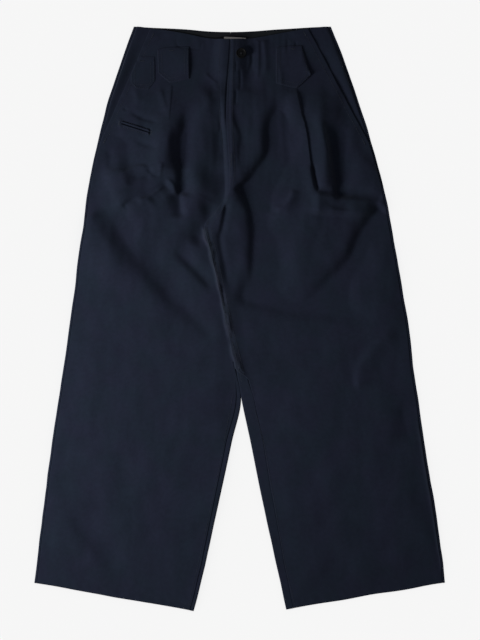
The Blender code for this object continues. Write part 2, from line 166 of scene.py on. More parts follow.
def nearest_on_path(x: Array, y: Array, route: Array) -> tuple[Array, Array, Array]:
    """Measures points against a line of short spans.

    Args:
        x: The points' x.
        y: The points' y.
        route: The line's own points, one a row.

    Returns:
        How far each point lies from the line, a number that is positive to the line's left, and the share
        of the line's length at the nearest place.
    """
    best = np.full(x.shape, 1e9)
    side = np.ones(x.shape)
    share = np.zeros(x.shape)
    spans = np.diff(route, axis=0)
    lengths = np.hypot(spans[:, 0], spans[:, 1])
    total = lengths.sum()
    done = 0.0
    for (ax, ay), (dx, dy), length in zip(route, spans, lengths):
        along = np.clip(((x - ax) * dx + (y - ay) * dy) / (length * length), 0.0, 1.0)
        away = np.hypot(x - ax - along * dx, y - ay - along * dy)
        nearer = away < best
        best = np.where(nearer, away, best)
        side = np.where(nearer, dx * (y - ay) - dy * (x - ax), side)
        share = np.where(nearer, (done + along * length) / total, share)
        done += length
    return best, side, share


def near_line(x: Array, y: Array, route: Array, reach: float) -> Array:
    """Which points lie in the box around a line, widened by a reach."""
    low, high = route.min(axis=0) - reach, route.max(axis=0) + reach
    return (x > low[0]) & (x < high[0]) & (y > low[1]) & (y < high[1])


@dataclass(frozen=True)
class Crease:
    """A ridge or hollow along a line: left and right are its reach to each side of the way along it."""

    name: str
    path: tuple[Point, ...]
    height: float
    left: float
    right: float
    fade_in: float = 0.25
    fade_out: float = 0.25
    power: float = 2.0
    # How much paler colour is painted along the crease: a painted highlight where light catches its ridge.
    painted_highlight: float = 0.0

    def share(self, x: Array, y: Array) -> Array:
        """How much of the crease is felt at each point.

        Args:
            x: The points' x.
            y: The points' y.

        Returns:
            Shares from 0 to 1.
        """
        route = curve_through(self.path, 5)
        near = near_line(x, y, route, CUTOFF * max(self.left, self.right))
        felt = np.zeros(x.shape)
        if near.any():
            away, side, along = nearest_on_path(x[near], y[near], route)
            width = np.where(side > 0, self.left, self.right)
            start = smooth(along / max(self.fade_in, 1e-6))
            swell = start * smooth((1 - along) / max(self.fade_out, 1e-6))
            felt[near] = swell * np.exp(-((away / width) ** self.power))
        return felt

    def at(self, x: Array, y: Array) -> Array:
        """The crease's height at each point, in millimetres."""
        return self.height * self.share(x, y)


@dataclass(frozen=True)
class Undulation:
    """Soft unevenness of a sheet that has been laid down by hand."""

    pitch_x: float
    pitch_y: float
    height: float
    layer: float

    def at(self, x: Array, y: Array) -> Array:
        """The unevenness at each point, in millimetres.

        Args:
            x: The points' x.
            y: The points' y.

        Returns:
            Heights at the points.
        """
        places = zip((x / self.pitch_x).ravel(), (y / self.pitch_y).ravel())
        values = (noise.noise(Vector((u, v, self.layer))) for u, v in places)
        return self.height * np.fromiter(values, float, x.size).reshape(x.shape)


@dataclass(frozen=True)
class Pucker:
    """Short ripples that a row of stitches draws up beside itself."""

    path: tuple[Point, ...]
    height: float
    pitch: float
    reach: float
    layer: float
    slant: float = 0.35

    def at(self, x: Array, y: Array) -> Array:
        """The ripples' height at each point, in millimetres.

        Args:
            x: The points' x.
            y: The points' y.

        Returns:
            Heights at the points.
        """
        route = curve_through(self.path, 4)
        near = near_line(x, y, route, CUTOFF * self.reach)
        ripple = np.zeros(x.shape)
        if near.any():
            away, side, share = nearest_on_path(x[near], y[near], route)
            spans = np.diff(route, axis=0)
            length = share * np.hypot(spans[:, 0], spans[:, 1]).sum() / self.pitch
            lean = np.where(side > 0, self.slant, -self.slant) * away / self.pitch
            values = (noise.noise(Vector((turn, self.layer, 0.5))) for turn in length + lean)
            wave = np.fromiter(values, float, len(length))
            ripple[near] = wave * np.exp(-((away / self.reach) ** 2))
        return self.height * 2.0 * ripple


def heights(parts: Iterable[Crease | Undulation | Pucker], x: Array, y: Array) -> Array:
    """What several folds, ripples or layers of unevenness add up to.

    Args:
        parts: What is added up, in order.
        x: The points' x.
        y: The points' y.

    Returns:
        Heights in millimetres.
    """
    total = np.zeros(x.shape)
    for part in parts:
        total += part.at(x, y)
    return total


# How the laid cloth strays across the garment and along it, beyond a calm strip down its middle
STRAY_ACROSS = (Undulation(110, 90, 1.6, 21.5), Undulation(34, 30, 0.7, 23.5))
STRAY_ALONG = (Undulation(60, 80, 1.4, 27.5),)
CALM_HALF = 20.0
CALM_FADE = 60.0


def drifted(points: Array) -> Array:
    """Moves plan points a little, alike for every piece, as cloth laid out by hand strays.

    Args:
        points: Points whose last axis starts with x and y, in millimetres.

    Returns:
        The moved points.
    """
    flat = points.reshape(-1, points.shape[-1])
    moved = flat.copy()
    x, y = flat[:, 0], flat[:, 1]
    calm = smooth((np.abs(x) - CALM_HALF) / CALM_FADE)
    moved[:, 0] += heights(STRAY_ACROSS, x, y) * calm
    moved[:, 1] += heights(STRAY_ALONG, x, y) * calm
    return moved.reshape(points.shape)


@dataclass(frozen=True)
class Lines:
    """A leg's outline read at many rows, each field an array with one value a row."""

    outer_x: Array
    outer_y: Array
    inner_x: Array
    inner_y: Array
    lap: Array
    curve: Array

    @property
    def width(self) -> Array:
        """Each row's length from the outer edge to the inner edge."""
        return np.hypot(self.inner_x - self.outer_x, self.inner_y - self.outer_y)

    @property
    def length(self) -> Array:
        """Each row's distance down the outer edge."""
        steps = np.hypot(np.diff(self.outer_x), np.diff(self.outer_y))
        return np.concatenate([[0], np.cumsum(steps)])

    def at(self, away: Array) -> tuple[Array, Array]:
        """Plan points at distances from the outer edge.

        Args:
            away: Distances, with one row for each of the outline's rows.

        Returns:
            The points' x and y.
        """
        share = away / self.width[:, None]
        curve = self.curve[:, None]
        bent = curve * smooth(share) + (1 - curve) * share
        x = self.outer_x[:, None] + share * (self.inner_x - self.outer_x)[:, None]
        y = self.outer_y[:, None] + bent * (self.inner_y - self.outer_y)[:, None]
        return x, y

    def points(self, away: Array, height: Array) -> Array:
        """One point a row, at a distance from the outer edge and a height."""
        x, y = self.at(away[:, None])
        return np.stack([x[:, 0], y[:, 0], height], axis=-1)

    def cloth(self, away: Array) -> Array:
        """The cloth's own map: distances from the outer edge, and down it."""
        return np.stack([away, np.broadcast_to(self.length[:, None], away.shape)], axis=-1)


@dataclass(frozen=True)
class LegPlan:
    """The plan of one leg, from the waist to the hem, and how its cloth comes down at the edges."""

    side: Side
    sections: tuple[Section, ...]
    pocket: tuple[Point, Point]
    outer_gain: float
    outer_stop: float
    inner_gain: float
    back_waist_y: float = BACK_WAIST_Y
    curved_rows: float = 6.0

    def lines(self, rows: Array, back: bool = False) -> Lines:
        """The outline at fractional rows.

        Args:
            rows: Row numbers, whole at the sections.
            back: Whether to read the back panel's outline.

        Returns:
            The outline's arrays.
        """
        table = np.array(self.sections)
        if back:
            table[:, 2] = table[:, 4]
            table[0, 3] = self.back_waist_y
        columns = [monotone(table[:, index], rows) for index in range(4)]
        split = int(SPLIT_ROW)
        lap = np.where(rows < SPLIT_ROW, 0.0, np.interp(rows, np.arange(split, 21), table[split:, 5]))
        return Lines(*columns, lap, np.maximum(0.0, 1.0 - rows / self.curved_rows))

    def pocket_distance(self, lines: Lines) -> Array:
        """How far from the outer edge the pocket opening crosses each row.

        Args:
            lines: The outline at the rows.

        Returns:
            A distance for each row.
        """
        (x0, y0), (x1, y1) = self.pocket
        ex, ey = lines.inner_x - lines.outer_x, lines.inner_y - lines.outer_y
        px, py = x1 - x0, y1 - y0
        share = ((x0 - lines.outer_x) * py - (y0 - lines.outer_y) * px) / (ex * py - ey * px)
        return share * lines.width

    def falling_edges(self) -> tuple[tuple[Array, float, float], ...]:
        """The outer edge, the inner leg and the hem, where the cloth comes down.

        Returns:
            Each edge's points, how many times as fast the cloth comes down there as at the hem, and how
            far in from the edge it already lies down, below the hips.
        """
        table = np.array(self.sections)
        hem = np.array([table[-1, :2], table[-1, 2:4]])
        return (
            (table[:, :2], self.outer_gain, self.outer_stop),
            (table[15:, 2:4], self.inner_gain, 0.0),
            (hem, 1.0, 0.0),
        )

    def inner_edge(self, first: float, last: float) -> Array:
        """The inner edge between two rows, as plan points."""
        lines = self.lines(np.linspace(first, last, int(4 * (last - first)) + 1))
        return np.column_stack([lines.inner_x, lines.inner_y])


LEFT_PLAN = LegPlan(
    Side.LEFT,
    tuple(Section(*row) for row in (
        (-185, 512, -15.4, 489, -15.4, 0),
        (-197, 480, -16.8, 460, -16.8, 0),
        (-209, 448, -19.2, 432, -19.2, 0),
        (-221, 413, -22, 401, -22, 0),
        (-232, 378, -23, 366, -23, 0),
        (-241, 343, -22, 331, -22, 0),
        (-249, 308, -20, 296, -20, 0),
        (-258, 270, -18, 259, -18, 0),
        (-265, 231, -18, 226, -18, 0),
        (-270, 196, -39, 194, -17, 0),
        (-274, 161, -62, 161, -16, 0),
        (-280, 121, -52, 119, -15, 0),
        (-288, 58, -38, 56, -13, 0),
        (-297, -5, -24, -9, -11, 0),
        (-306, -72, -8, -75, -8, 3),
        (-317, -138, 3, -140, 3, 8.5),
        (-328, -212, -13, -215, -13, 10),
        (-337, -282, -29, -290, -29, 9),
        (-346, -352, -46, -366, -46, 8),
        (-354, -413, -61, -436, -61, 7),
        (-360, -462, -80, -512, -80, 7),
    )),
    ((-158, 502), (-245, 308)),
    outer_gain=0.9,
    outer_stop=42.0,
    inner_gain=12.0,
)
RIGHT_PLAN = LegPlan(
    Side.RIGHT,
    tuple(Section(*row) for row in (
        (160, 512, -15.4, 489, -15.4, 0),
        (173, 480, -16.8, 460, -16.8, 0),
        (185, 448, -19.2, 432, -19.2, 0),
        (197, 413, -22, 401, -22, 0),
        (209, 378, -23, 366, -23, 0),
        (221, 343, -22, 331, -22, 0),
        (231, 308, -20, 296, -20, 0),
        (242, 270, -18, 259, -18, 0),
        (252, 231, -18, 226, -18, 0),
        (260, 196, -39, 194, -17, 0),
        (266, 161, -62, 161, -16, 0),
        (273, 121, -52, 119, -15, 0),
        (284, 58, -38, 56, -13, 0),
        (295, -5, -24, -9, -11, 0),
        (304, -72, -8, -75, -8, 14),
        (313, -138, 3, -140, 3, 22),
        (323, -212, 19, -215, 19, 22),
        (335, -282, 34, -290, 34, 19),
        (346, -352, 50, -366, 50, 17),
        (354, -413, 66, -436, 66, 14),
        (360, -462, 81, -509, 81, 12),
    )),
    ((120, 506), (227, 308)),
    outer_gain=1.6,
    outer_stop=52.0,
    inner_gain=1.0,
)

# Creases: a name, the line, the height, the reach to the left and to the right, and then the two fades,
# the power and the painted highlight (paler colour painted along a ridge) where they aren't the usual
# ones. Upright lines run upwards, so left is the photograph's left.

# Pleats, swells and hollows of the fronts
BIG_CREASES = tuple(Crease(*row) for row in (
    ("left pleat crest",
     ((-134, 248), (-134, 267), (-131, 296), (-127.5, 319), (-124.6, 342), (-121.7, 372), (-120, 408)),
     7.5, 26, 17, 0.1, 0.6),
    ("left pleat hollow",
     ((-105, 213), (-102, 235), (-101, 262), (-101, 290), (-99, 318), (-95, 346), (-90, 384)),
     -9, 8, 18, 0.07, 0.45),
    ("left pleat hollow side", ((-106, 258), (-110, 286), (-112, 310), (-104, 338)), -5, 9, 12, 0.3, 0.3),
    ("left pleat inner ridge", ((-104, 146), (-91, 180), (-79, 206), (-76, 234), (-82, 262), (-89, 286)),
     3.6, 12, 18, 0.3, 0.35),
    ("left panel sink", ((-66, 222), (-68, 270), (-68, 320), (-64, 362)), -3.3, 30, 60, 0.25, 0.25),
    ("left thigh hollow", ((-82, 126), (-61, 160), (-51, 188), (-50, 224)), -7, 17, 12, 0.2, 0.3),
    ("left crotch fall",
     ((-42, 184), (-31, 200), (-26, 222), (-27, 262), (-29, 296), (-32, 332), (-34, 372), (-36, 404)),
     -6.5, 25, 4, 0.14, 0.35),
    ("waist diagonal hollow", ((-74, 427), (-54, 412), (-36, 394)), -3.4, 3.5, 10, 0.2, 0.2),
    ("waist diagonal crest", ((-84, 412), (-64, 398), (-42, 366)), 2.4, 9, 14),
    ("left hip swell", ((-200, 186), (-216, 225), (-232, 272)), 6, 16, 26),
    ("left hip fall", ((-206, 330), (-199, 280), (-188, 246)), -4, 22, 24, 0.3, 0.3),
    ("left hip diagonal", ((-206, 190), (-178, 205), (-157, 212), (-127, 234)), 5, 4, 20, 0.2, 0.2),
    ("left thigh trough",
     ((-251, 206), (-233, 192), (-211, 161), (-189, 129), (-168, 101), (-146, 75), (-93, 18), (-62, -8)),
     -5.5, 34, 20, 0.1, 0.4),
    ("left thigh ridge", ((-266, 190), (-256, 166), (-243, 142), (-227, 116), (-210, 92), (-180, 66)),
     5.5, 18, 30, 0.1, 0.45),
    ("left thigh second ridge", ((-234, 147), (-195, 95), (-159, 51), (-122, 12), (-84, -22)),
     4.0, 22, 42, 0.3, 0.4),
    ("left inseam swell", ((-4, -150), (-18, -215), (-34, -290), (-51, -366), (-66, -436), (-84, -508)),
     4.4, 5, 60, 0.15, 0.02, 1.0),
    ("left thigh trough end", ((-110, 34), (-78, 2), (-42, -38)), -2.4, 14, 12),
    ("left crotch trough", ((-118, 124), (-86, 96), (-41, 47)), -5.2, 15, 8),
    ("left hem trough", ((-290, -322), (-282, -352), (-255, -388), (-233, -420), (-225, -448)),
     -2.4, 32, 17),
    ("left hem ridge", ((-306, -325), (-299, -358), (-272, -394), (-251, -424), (-243, -452)),
     1.8, 17, 32),
    ("left knee trough", ((-310, -322), (-304, -262), (-298, -190)), -2.4, 16, 34),
    ("right fly hollow",
     ((5, 213), (21, 238), (38, 261), (50, 280), (54.5, 297), (57, 336), (65, 362), (77, 390)),
     -13, 11.5, 40, 0.05, 0.35),
    ("right fly fan", ((70, 322), (79, 345), (75, 372), (86, 398)), -4.5, 15, 10, 0.3, 0.35),
    ("right crotch hollow", ((34, 22), (33, 77), (32, 125), (30.5, 160), (26, 190), (16, 216), (4, 241)),
     -13, 12, 44, 0.35, 0.05),
    ("right fly brow", ((-11, 180), (-10, 204), (-9, 228), (-7, 250), (0, 280)), 3.2, 12, 15, 0.3, 0.3),
    ("right pleat crest", ((152, 218), (151, 261), (149, 302), (145, 342), (138, 377), (133, 402)),
     7.5, 15, 15, 0.1, 0.5),
    ("right pleat hollow", ((175, 204), (174, 232), (170, 261), (164, 290), (155.5, 331), (148, 360)),
     -10.5, 6.6, 26, 0.1, 0.3),
    ("right pleat foot", ((140, 178), (141, 204), (144, 228)), 8.0, 14, 74, 0.25, 0.3),
    ("right pleat end", ((146, 206), (170, 196), (204, 190)), -2, 16, 5, 0.25, 0.3),
    ("right hip corner", ((192, 224), (222, 218), (250, 208)), -3.0, 10, 14, 0.3, 0.1),
    ("right hip corner ridge", ((182, 184), (212, 184), (244, 194)), 3.5, 16, 9, 0.3, 0.3),
    ("right thigh trough", ((120, 25), (168, 68), (196, 101), (216, 145), (233, 174), (252, 200)),
     -11, 15, 34, 0.3, 0.08),
    ("right knee trough", ((-12, 44), (30, 35), (90, 20), (140, 15), (190, 10), (240, 14)),
     -7.0, 34, 13, 0.1, 0.3),
    ("right side ridge", ((212, -126), (207.5, -103), (213, -82), (227, -61), (251, -35), (275, -16)),
     2.6, 7, 20, 0.1, 0.2),
    ("right leg trough", ((303, -222), (294, -182), (286, -142)), -4, 20, 20),
    ("right hip fold", ((176, 392), (184, 362), (196, 330)), -3, 12, 14, 0.3, 0.3),
    ("right tab fold", ((146, 436), (152, 408), (160, 384)), -2.5, 8, 10, 0.3, 0.3),
))

# Small folds, seam ridges and grooves, which also cross the flat waist
FINE_CREASES = tuple(Crease(*row) for row in (
    ("left pleat edge", ((-124, 342), (-121.7, 372), (-119, 412)), 1.0, 6, 1.6, 0.3, 0.1),
    ("right pleat step", ((135, 220), (123.5, 272), (118, 316), (111.5, 348), (107.8, 360), (99, 408)),
     3.6, 16, 1.5, 0.05, 0.1),
    ("right pleat step end", ((138, 220), (131.5, 245), (126, 276)), -5.0, 4.2, 5.0),
    ("right hip curve", ((60, 192), (78, 198), (88, 210), (94, 229)), 3.6, 3.5, 10, 0.2, 0.2),
    ("right hip stroke", ((50, 190), (46, 202), (40, 214)), -1.2, 6, 4, 0.3, 0.3),
    ("fly shield ridge", ((-19, 240), (-22, 280), (-28, 330), (-29.5, 362), (-31, 400), (-32, 446)),
     0.6, 2.8, 9.0, 0.35, 0.25),
    ("fly shield groove", ((-27, 276), (-29, 296), (-31.5, 322), (-33.5, 348), (-36, 362)),
     -1.6, 3.4, 3.0),
    ("fly band", ((-13, 402), (-12, 430), (-12, 460), (-12, 491)), 6.5, 24, 21, 0.45, 0.0, 4.0),
    ("fly line",
     ((-22.6, 322), (-23.7, 345), (-23.9, 366), (-22.8, 401), (-19.9, 432), (-17.5, 460), (-16, 491)),
     -1.4, 1.4, 8.0, 0.25, 0.0),
    ("fly band edge", ((-38, 410), (-36, 440), (-35, 491)), 2.6, 8, 17, 0.3, 0.0),
    ("fly inner ridge", ((-15, 232), (-12, 270), (-14, 330), (-14, 380), (-12, 430), (-11, 489)),
     0.9, 3.4, 3.2, 0.1, 0.0),
    ("fly long stroke", ((0, 396), (2, 412), (1, 442)), -1.6, 2.6, 1.6),
    ("fly short stroke", ((-7, 372), (-6, 390), (-6, 404)), -1.6, 2.6, 1.6),
    ("fly low stroke", ((1, 262), (1, 296), (4, 322), (-4, 342), (-7, 354), (-4, 376)), -2.2, 4.5, 16),
    ("fly broad hollow", ((12, 394), (19, 418), (21, 446)), -2.4, 11, 12, 0.3, 0.3),
    ("button shadow fold", ((17, 428), (21, 446), (21.5, 460), (20, 471), (11, 481)), -2.6, 2.8, 4.0),
    ("waist fold one", ((30, 412), (33, 440), (33, 486)), 1.4, 3.4, 2.8, 0.3, 0.0),
    ("waist fold two", ((44, 420), (46, 450), (43, 486)), 1.8, 3.6, 6.0, 0.3, 0.0),
    ("waist fold three", ((71, 404), (73, 424), (71, 444)), 1.0, 2.4, 5.0, 0.3, 0.3),
    ("waist fold four", ((84, 464), (83, 478), (84, 488)), -0.7, 2.4, 3.0, 0.3, 0.0),
    ("button fold left", ((-6, 430), (-6, 452)), -0.8, 1.6, 1.6),
    ("crotch seam", ((-62, 160), (-37, 190), (-17, 222)), 1.0, 2.6, 6, 0.1, 0.1),
    # The inseam ridges carry painted highlight, their last value: a paler colour painted along them.
    ("inseam ridge low",
     ((2, -135), (-1, -112), (-5, -92), (-7, -76), (-13, -58), (-15, -44), (-19, -34)),
     2.3, 3.0, 10, 0.1, 0.2, 2.0, 0.3),
    ("inseam ridge middle",
     ((-17, -44), (-20, -24), (-25, -6), (-26, 8), (-30, 24), (-32, 40), (-36, 52)),
     2.2, 2.6, 12, 0.2, 0.2, 2.0, 0.35),
    ("inseam ridge high",
     ((-32, 38), (-38, 62), (-42, 84), (-49, 104), (-53, 126), (-61, 142), (-63, 162)),
     2.8, 3.0, 6, 0.15, 0.05, 2.0, 0.45),
    ("inseam strip stroke one", ((-49, 116), (-52, 138), (-54, 158)), -0.7, 2.0, 3.4),
    ("inseam strip stroke two", ((-38, 74), (-43, 96), (-45, 112)), -0.9, 2.0, 3.2),
    ("inseam strip stroke three", ((-25, 20), (-29, 44), (-34, 66)), -1.5, 2.2, 3.2),
    ("inseam strip stroke four", ((-14, -28), (-18, -6), (-20, 14)), 1.3, 3.0, 2.4),
    ("inseam strip stroke five", ((9, -112), (4, -90), (-3, -70)), 1.4, 3.4, 2.6),
    ("inseam groove", ((-18, 50), (-25, 84), (-32, 124), (-36, 158)), -2.2, 5, 6, 0.3, 0.15),
    ("crotch short hollow", ((-35, 140), (-28, 173), (-22, 210)), -3.6, 3.0, 7),
    ("waist diagonal line", ((-36, 409), (-50, 420), (-62, 432)), 1.0, 3, 2.5),
    ("coin wrinkle", ((-194, 364), (-171, 351), (-141, 343)), -2.0, 6, 3.5),
    ("coin wrinkle high", ((-203, 371), (-198, 363)), -1.6, 2.4, 2.4, 0.4, 0.4),
    ("coin wrinkle low", ((-192, 318), (-162, 304), (-138, 300)), -1.6, 7, 5),
    ("hip crease one", ((-201, 257), (-177, 266), (-157, 263)), 2.4, 3, 7),
    ("hip crease two", ((-162, 263), (-148, 252), (-136, 256)), -2.6, 4.5, 3.5),
    ("hip crease three", ((-131, 243), (-119, 236), (-108, 214)), 2.0, 4.0, 5),
    ("hip crease four", ((-199, 226), (-201, 264)), 2.4, 12, 9),
    ("hip crease five", ((-204, 193), (-188, 204), (-170, 208)), -3.4, 5.5, 8, 0.2, 0.3),
    ("hip crease six", ((-160, 204), (-142, 219), (-121, 240)), -4.2, 8, 11, 0.25, 0.25),
    ("hip crease seven", ((-102, 174), (-106, 200), (-108, 224)), -6.4, 13, 7, 0.25, 0.2),
    ("hip crease eight", ((-190, 246), (-172, 250), (-150, 248)), -1.8, 5, 8, 0.3, 0.3),
    ("left flank stroke", ((-232, 300), (-228, 280), (-230, 258)), -1.6, 9, 5, 0.3, 0.3),
    ("hip bright spot", ((-142, 246), (-137, 262), (-135, 275)), 1.9, 6, 4),
    ("left side stroke one", ((-180, 449), (-178, 467)), -1.3, 2.6, 1.4, 0.3, 0.3),
    ("left side stroke two", ((-189, 432), (-186, 444)), -1.2, 2.4, 1.4, 0.3, 0.3),
    ("left side stroke three", ((-172, 489), (-169, 503)), -1.0, 2.4, 1.4, 0.3, 0.3),
    ("left tab fold", ((-128, 360), (-134, 384), (-142, 408)), 1.6, 7, 4, 0.3, 0.3),
    ("left flank fold", ((-176, 372), (-182, 396), (-188, 414)), 1.4, 6, 7, 0.3, 0.3),
    ("right side stroke", ((98, 486), (97, 476)), -1.2, 2.2, 1.4, 0.3, 0.3),
    # The outseam ridge carries painted highlight, its last value: a paler colour painted along it.
    ("right outseam ridge", ((309, -160), (314.5, -200), (328, -280), (342, -365), (354, -445)),
     1.3, 2.0, 1.6, 0.2, 0.05, 2.0, 0.25),
    ("coin pocket end", ((-155.5, 317), (-156.5, 326), (-158.5, 335)), -1.5, 1.8, 1.6, 0.2, 0.2),
    ("coin pocket start", ((-208.5, 332), (-209.5, 342), (-211, 352)), 1.2, 1.6, 3.0, 0.2, 0.2),
    ("tab groove", ((-108, 495), (-110, 484), (-106, 477), (-95, 473), (-69, 473), (-66, 488)),
     -0.7, 2, 2),
))


# Ripples beside the pockets, hems, inner leg, leg edges, fly and waist edge
PUCKERS = (
    Pucker(LEFT_PLAN.pocket, 0.5, 13, 9, 1.3),
    Pucker(RIGHT_PLAN.pocket, 0.4, 14, 8, 2.1),
    Pucker(((-360, -455), (-220, -479), (-80, -505)), 0.35, 11, 8, 3.7),
    Pucker(((81, -502), (220, -479), (360, -455)), 0.35, 11, 8, 4.9),
    Pucker(((-62, 161), (-47, 106), (-31, 36), (-8, -62), (3, -135)), 0.9, 7, 6, 5.3),
    Pucker(((3, -138), (-13, -215), (-29, -290), (-80, -512)), 0.35, 12, 8, 5.9),
    Pucker(((3, -138), (34, -290), (81, -509)), 0.35, 13, 9, 6.1),
    Pucker(((-33, 470), (-32, 360), (-19, 240)), 0.45, 11, 7, 7.9),
    Pucker(((-185, 506), (-100, 492), (-18, 482), (80, 494), (160, 506)), 0.4, 16, 10, 8.3),
)


@dataclass(frozen=True)
class FrontRelief:
    """The height of the top layer of cloth over the floor, everywhere on the garment.

    The reach and round fields say how far in from an edge the crown, the dome, the unevenness and the
    folds come to their full height. The other fields are heights, and the places in x and y where an
    effect starts and how far it takes to fade.
    """

    crown: float = 1.8
    crown_reach: float = 50.0
    dome: Point = (1.5, 7.5)
    dome_reach: float = 130.0
    hips: Point = (-60.0, 200.0)
    edge_round: float = 58.0
    fold_round: float = 20.0
    flat_above: float = 396.0
    flat_fade: float = 60.0
    crease_top: float = 430.0
    crease_fade: float = 70.0
    pocket_reach: float = 25.0
    pocket_fade: float = 30.0
    lap_rise: float = 1.7
    lap_flat: tuple[Point, ...] = ((-138, 6.0), (33, 8.0), (160, 9.0), (200, 6.0), (240, 3.0), (400, 4.0))
    lap_fall: tuple[Point, ...] = ((-138, 20.0), (33, 24.0), (160, 18.0), (240, 22.0), (400, 30.0))
    stop_below: float = 300.0
    stop_fade: float = 60.0
    fine_round: float = 8.0
    clearance: float = 0.05
    unevenness: tuple[Undulation, ...] = (
        Undulation(120, 170, 2.4, 1.9),
        Undulation(46, 70, 1.7, 3.1),
        Undulation(19, 26, 0.55, 7.7),
        Undulation(8, 11, 0.12, 12.3),
    )
    crumple: tuple[Undulation, ...] = (Undulation(38, 52, 2.6, 31.7), Undulation(17, 34, 0.9, 36.1))
    streaks: tuple[Undulation, ...] = (Undulation(10, 75, 0.55, 41.3), Undulation(5.5, 40, 0.2, 43.9))
    streaks_above: float = 215.0
    streaks_fade: float = 40.0
    streaks_x: float = 18.0
    streaks_half: float = 95.0
    streaks_side_fade: float = 30.0
    puckers: tuple[Pucker, ...] = PUCKERS

    def edge_distance(self, x: Array, y: Array) -> Array:
        """How far each point lies from the nearest edge that comes down, as the hem's distances count.

        Args:
            x: The points' x.
            y: The points' y.

        Returns:
            Distances in millimetres.
        """
        below = smooth((self.stop_below - y) / self.stop_fade)
        edges = (*LEFT_PLAN.falling_edges(), *RIGHT_PLAN.falling_edges())
        away = [gain * nearest_on_path(x, y, line)[0] + stop * below for line, gain, stop in edges]
        return np.minimum.reduce(away)

    def pocket_share(self, x: Array, y: Array) -> Array:
        """One beside a hip pocket's opening and zero away from it.

        Args:
            x: The points' x.
            y: The points' y.

        Returns:
            Shares from 0 to 1.
        """
        pockets = (LEFT_PLAN.pocket, RIGHT_PLAN.pocket)
        away = np.minimum.reduce([nearest_on_path(x, y, np.array(line, float))[0] for line in pockets])
        return smooth(1.0 - (away - self.pocket_reach) / self.pocket_fade)

    def seam_lap(self, x: Array, y: Array) -> Array:
        """How far the right front stands over the left along the fly, the crotch and the inseam.

        Args:
            x: The points' x.
            y: The points' y.

        Returns:
            Heights in millimetres.
        """
        seam = LEFT_PLAN.inner_edge(0.0, 15.0)
        away = nearest_on_path(x, y, seam)[0]
        flat = np.interp(y, *zip(*self.lap_flat))
        fall = np.interp(y, *zip(*self.lap_fall))
        return self.lap_rise * (1.0 - smooth((away - flat) / fall))

    def underside(self, x: Array, y: Array, side: Side) -> Array:
        """Height of the underside of a front.

        Args:
            x: The points' x.
            y: The points' y.
            side: The front that the points lie on.

        Returns:
            Heights in millimetres.
        """
        edge = self.edge_distance(x, y)
        waist = smooth((y - self.flat_above + self.flat_fade) / self.flat_fade)
        crease = 1.0 - smooth((y - self.crease_top + self.crease_fade) / self.crease_fade)
        lift = WAIST_LIFT * np.maximum(waist, self.pocket_share(x, y))
        low, high = self.hips
        hips = smooth((y - low) / (high - low))
        dome = self.dome[0] + hips * (self.dome[1] - self.dome[0])
        body = self.crown * smooth(edge / self.crown_reach) + dome * smooth(edge / self.dome_reach)
        for layer in self.unevenness:
            body += layer.at(x, y)
        for layer in self.crumple:
            body += hips * layer.at(x, y)
        folds = heights(BIG_CREASES, x, y)
        body = body * smooth(edge / self.edge_round) + folds * smooth(edge / self.fold_round)
        body = np.maximum(body, 0.0) * crease
        fine = heights((*FINE_CREASES, *self.puckers), x, y)
        across = (self.streaks_half - np.abs(x - self.streaks_x)) / self.streaks_side_fade
        middle = smooth((y - self.streaks_above) / self.streaks_fade) * smooth(across)
        for layer in self.streaks:
            fine += middle * layer.at(x, y)
        if side is Side.RIGHT:
            lift = lift + self.seam_lap(x, y)
        height = FRONT_REST + lift + body + fine * smooth(edge / self.fine_round)
        return np.maximum(height, BACK_TOP + self.clearance)


def new_group(name: str, inputs: dict[str, str], outputs: dict[str, str]) -> NodeTree:
    """An empty shader node group.

    Args:
        name: The group's name.
        inputs: The socket type of each named input.
        outputs: The socket type of each named output.

    Returns:
        The group, with its input and output nodes in place.
    """
    group = bpy.data.node_groups.new(name, "ShaderNodeTree")
    for label, kind in inputs.items():
        group.interface.new_socket(label, in_out="INPUT", socket_type=kind)
    for label, kind in outputs.items():
        group.interface.new_socket(label, in_out="OUTPUT", socket_type=kind)
    group.nodes.new("NodeGroupInput").name = "in"
    group.nodes.new("NodeGroupOutput").name = "out"
    return group


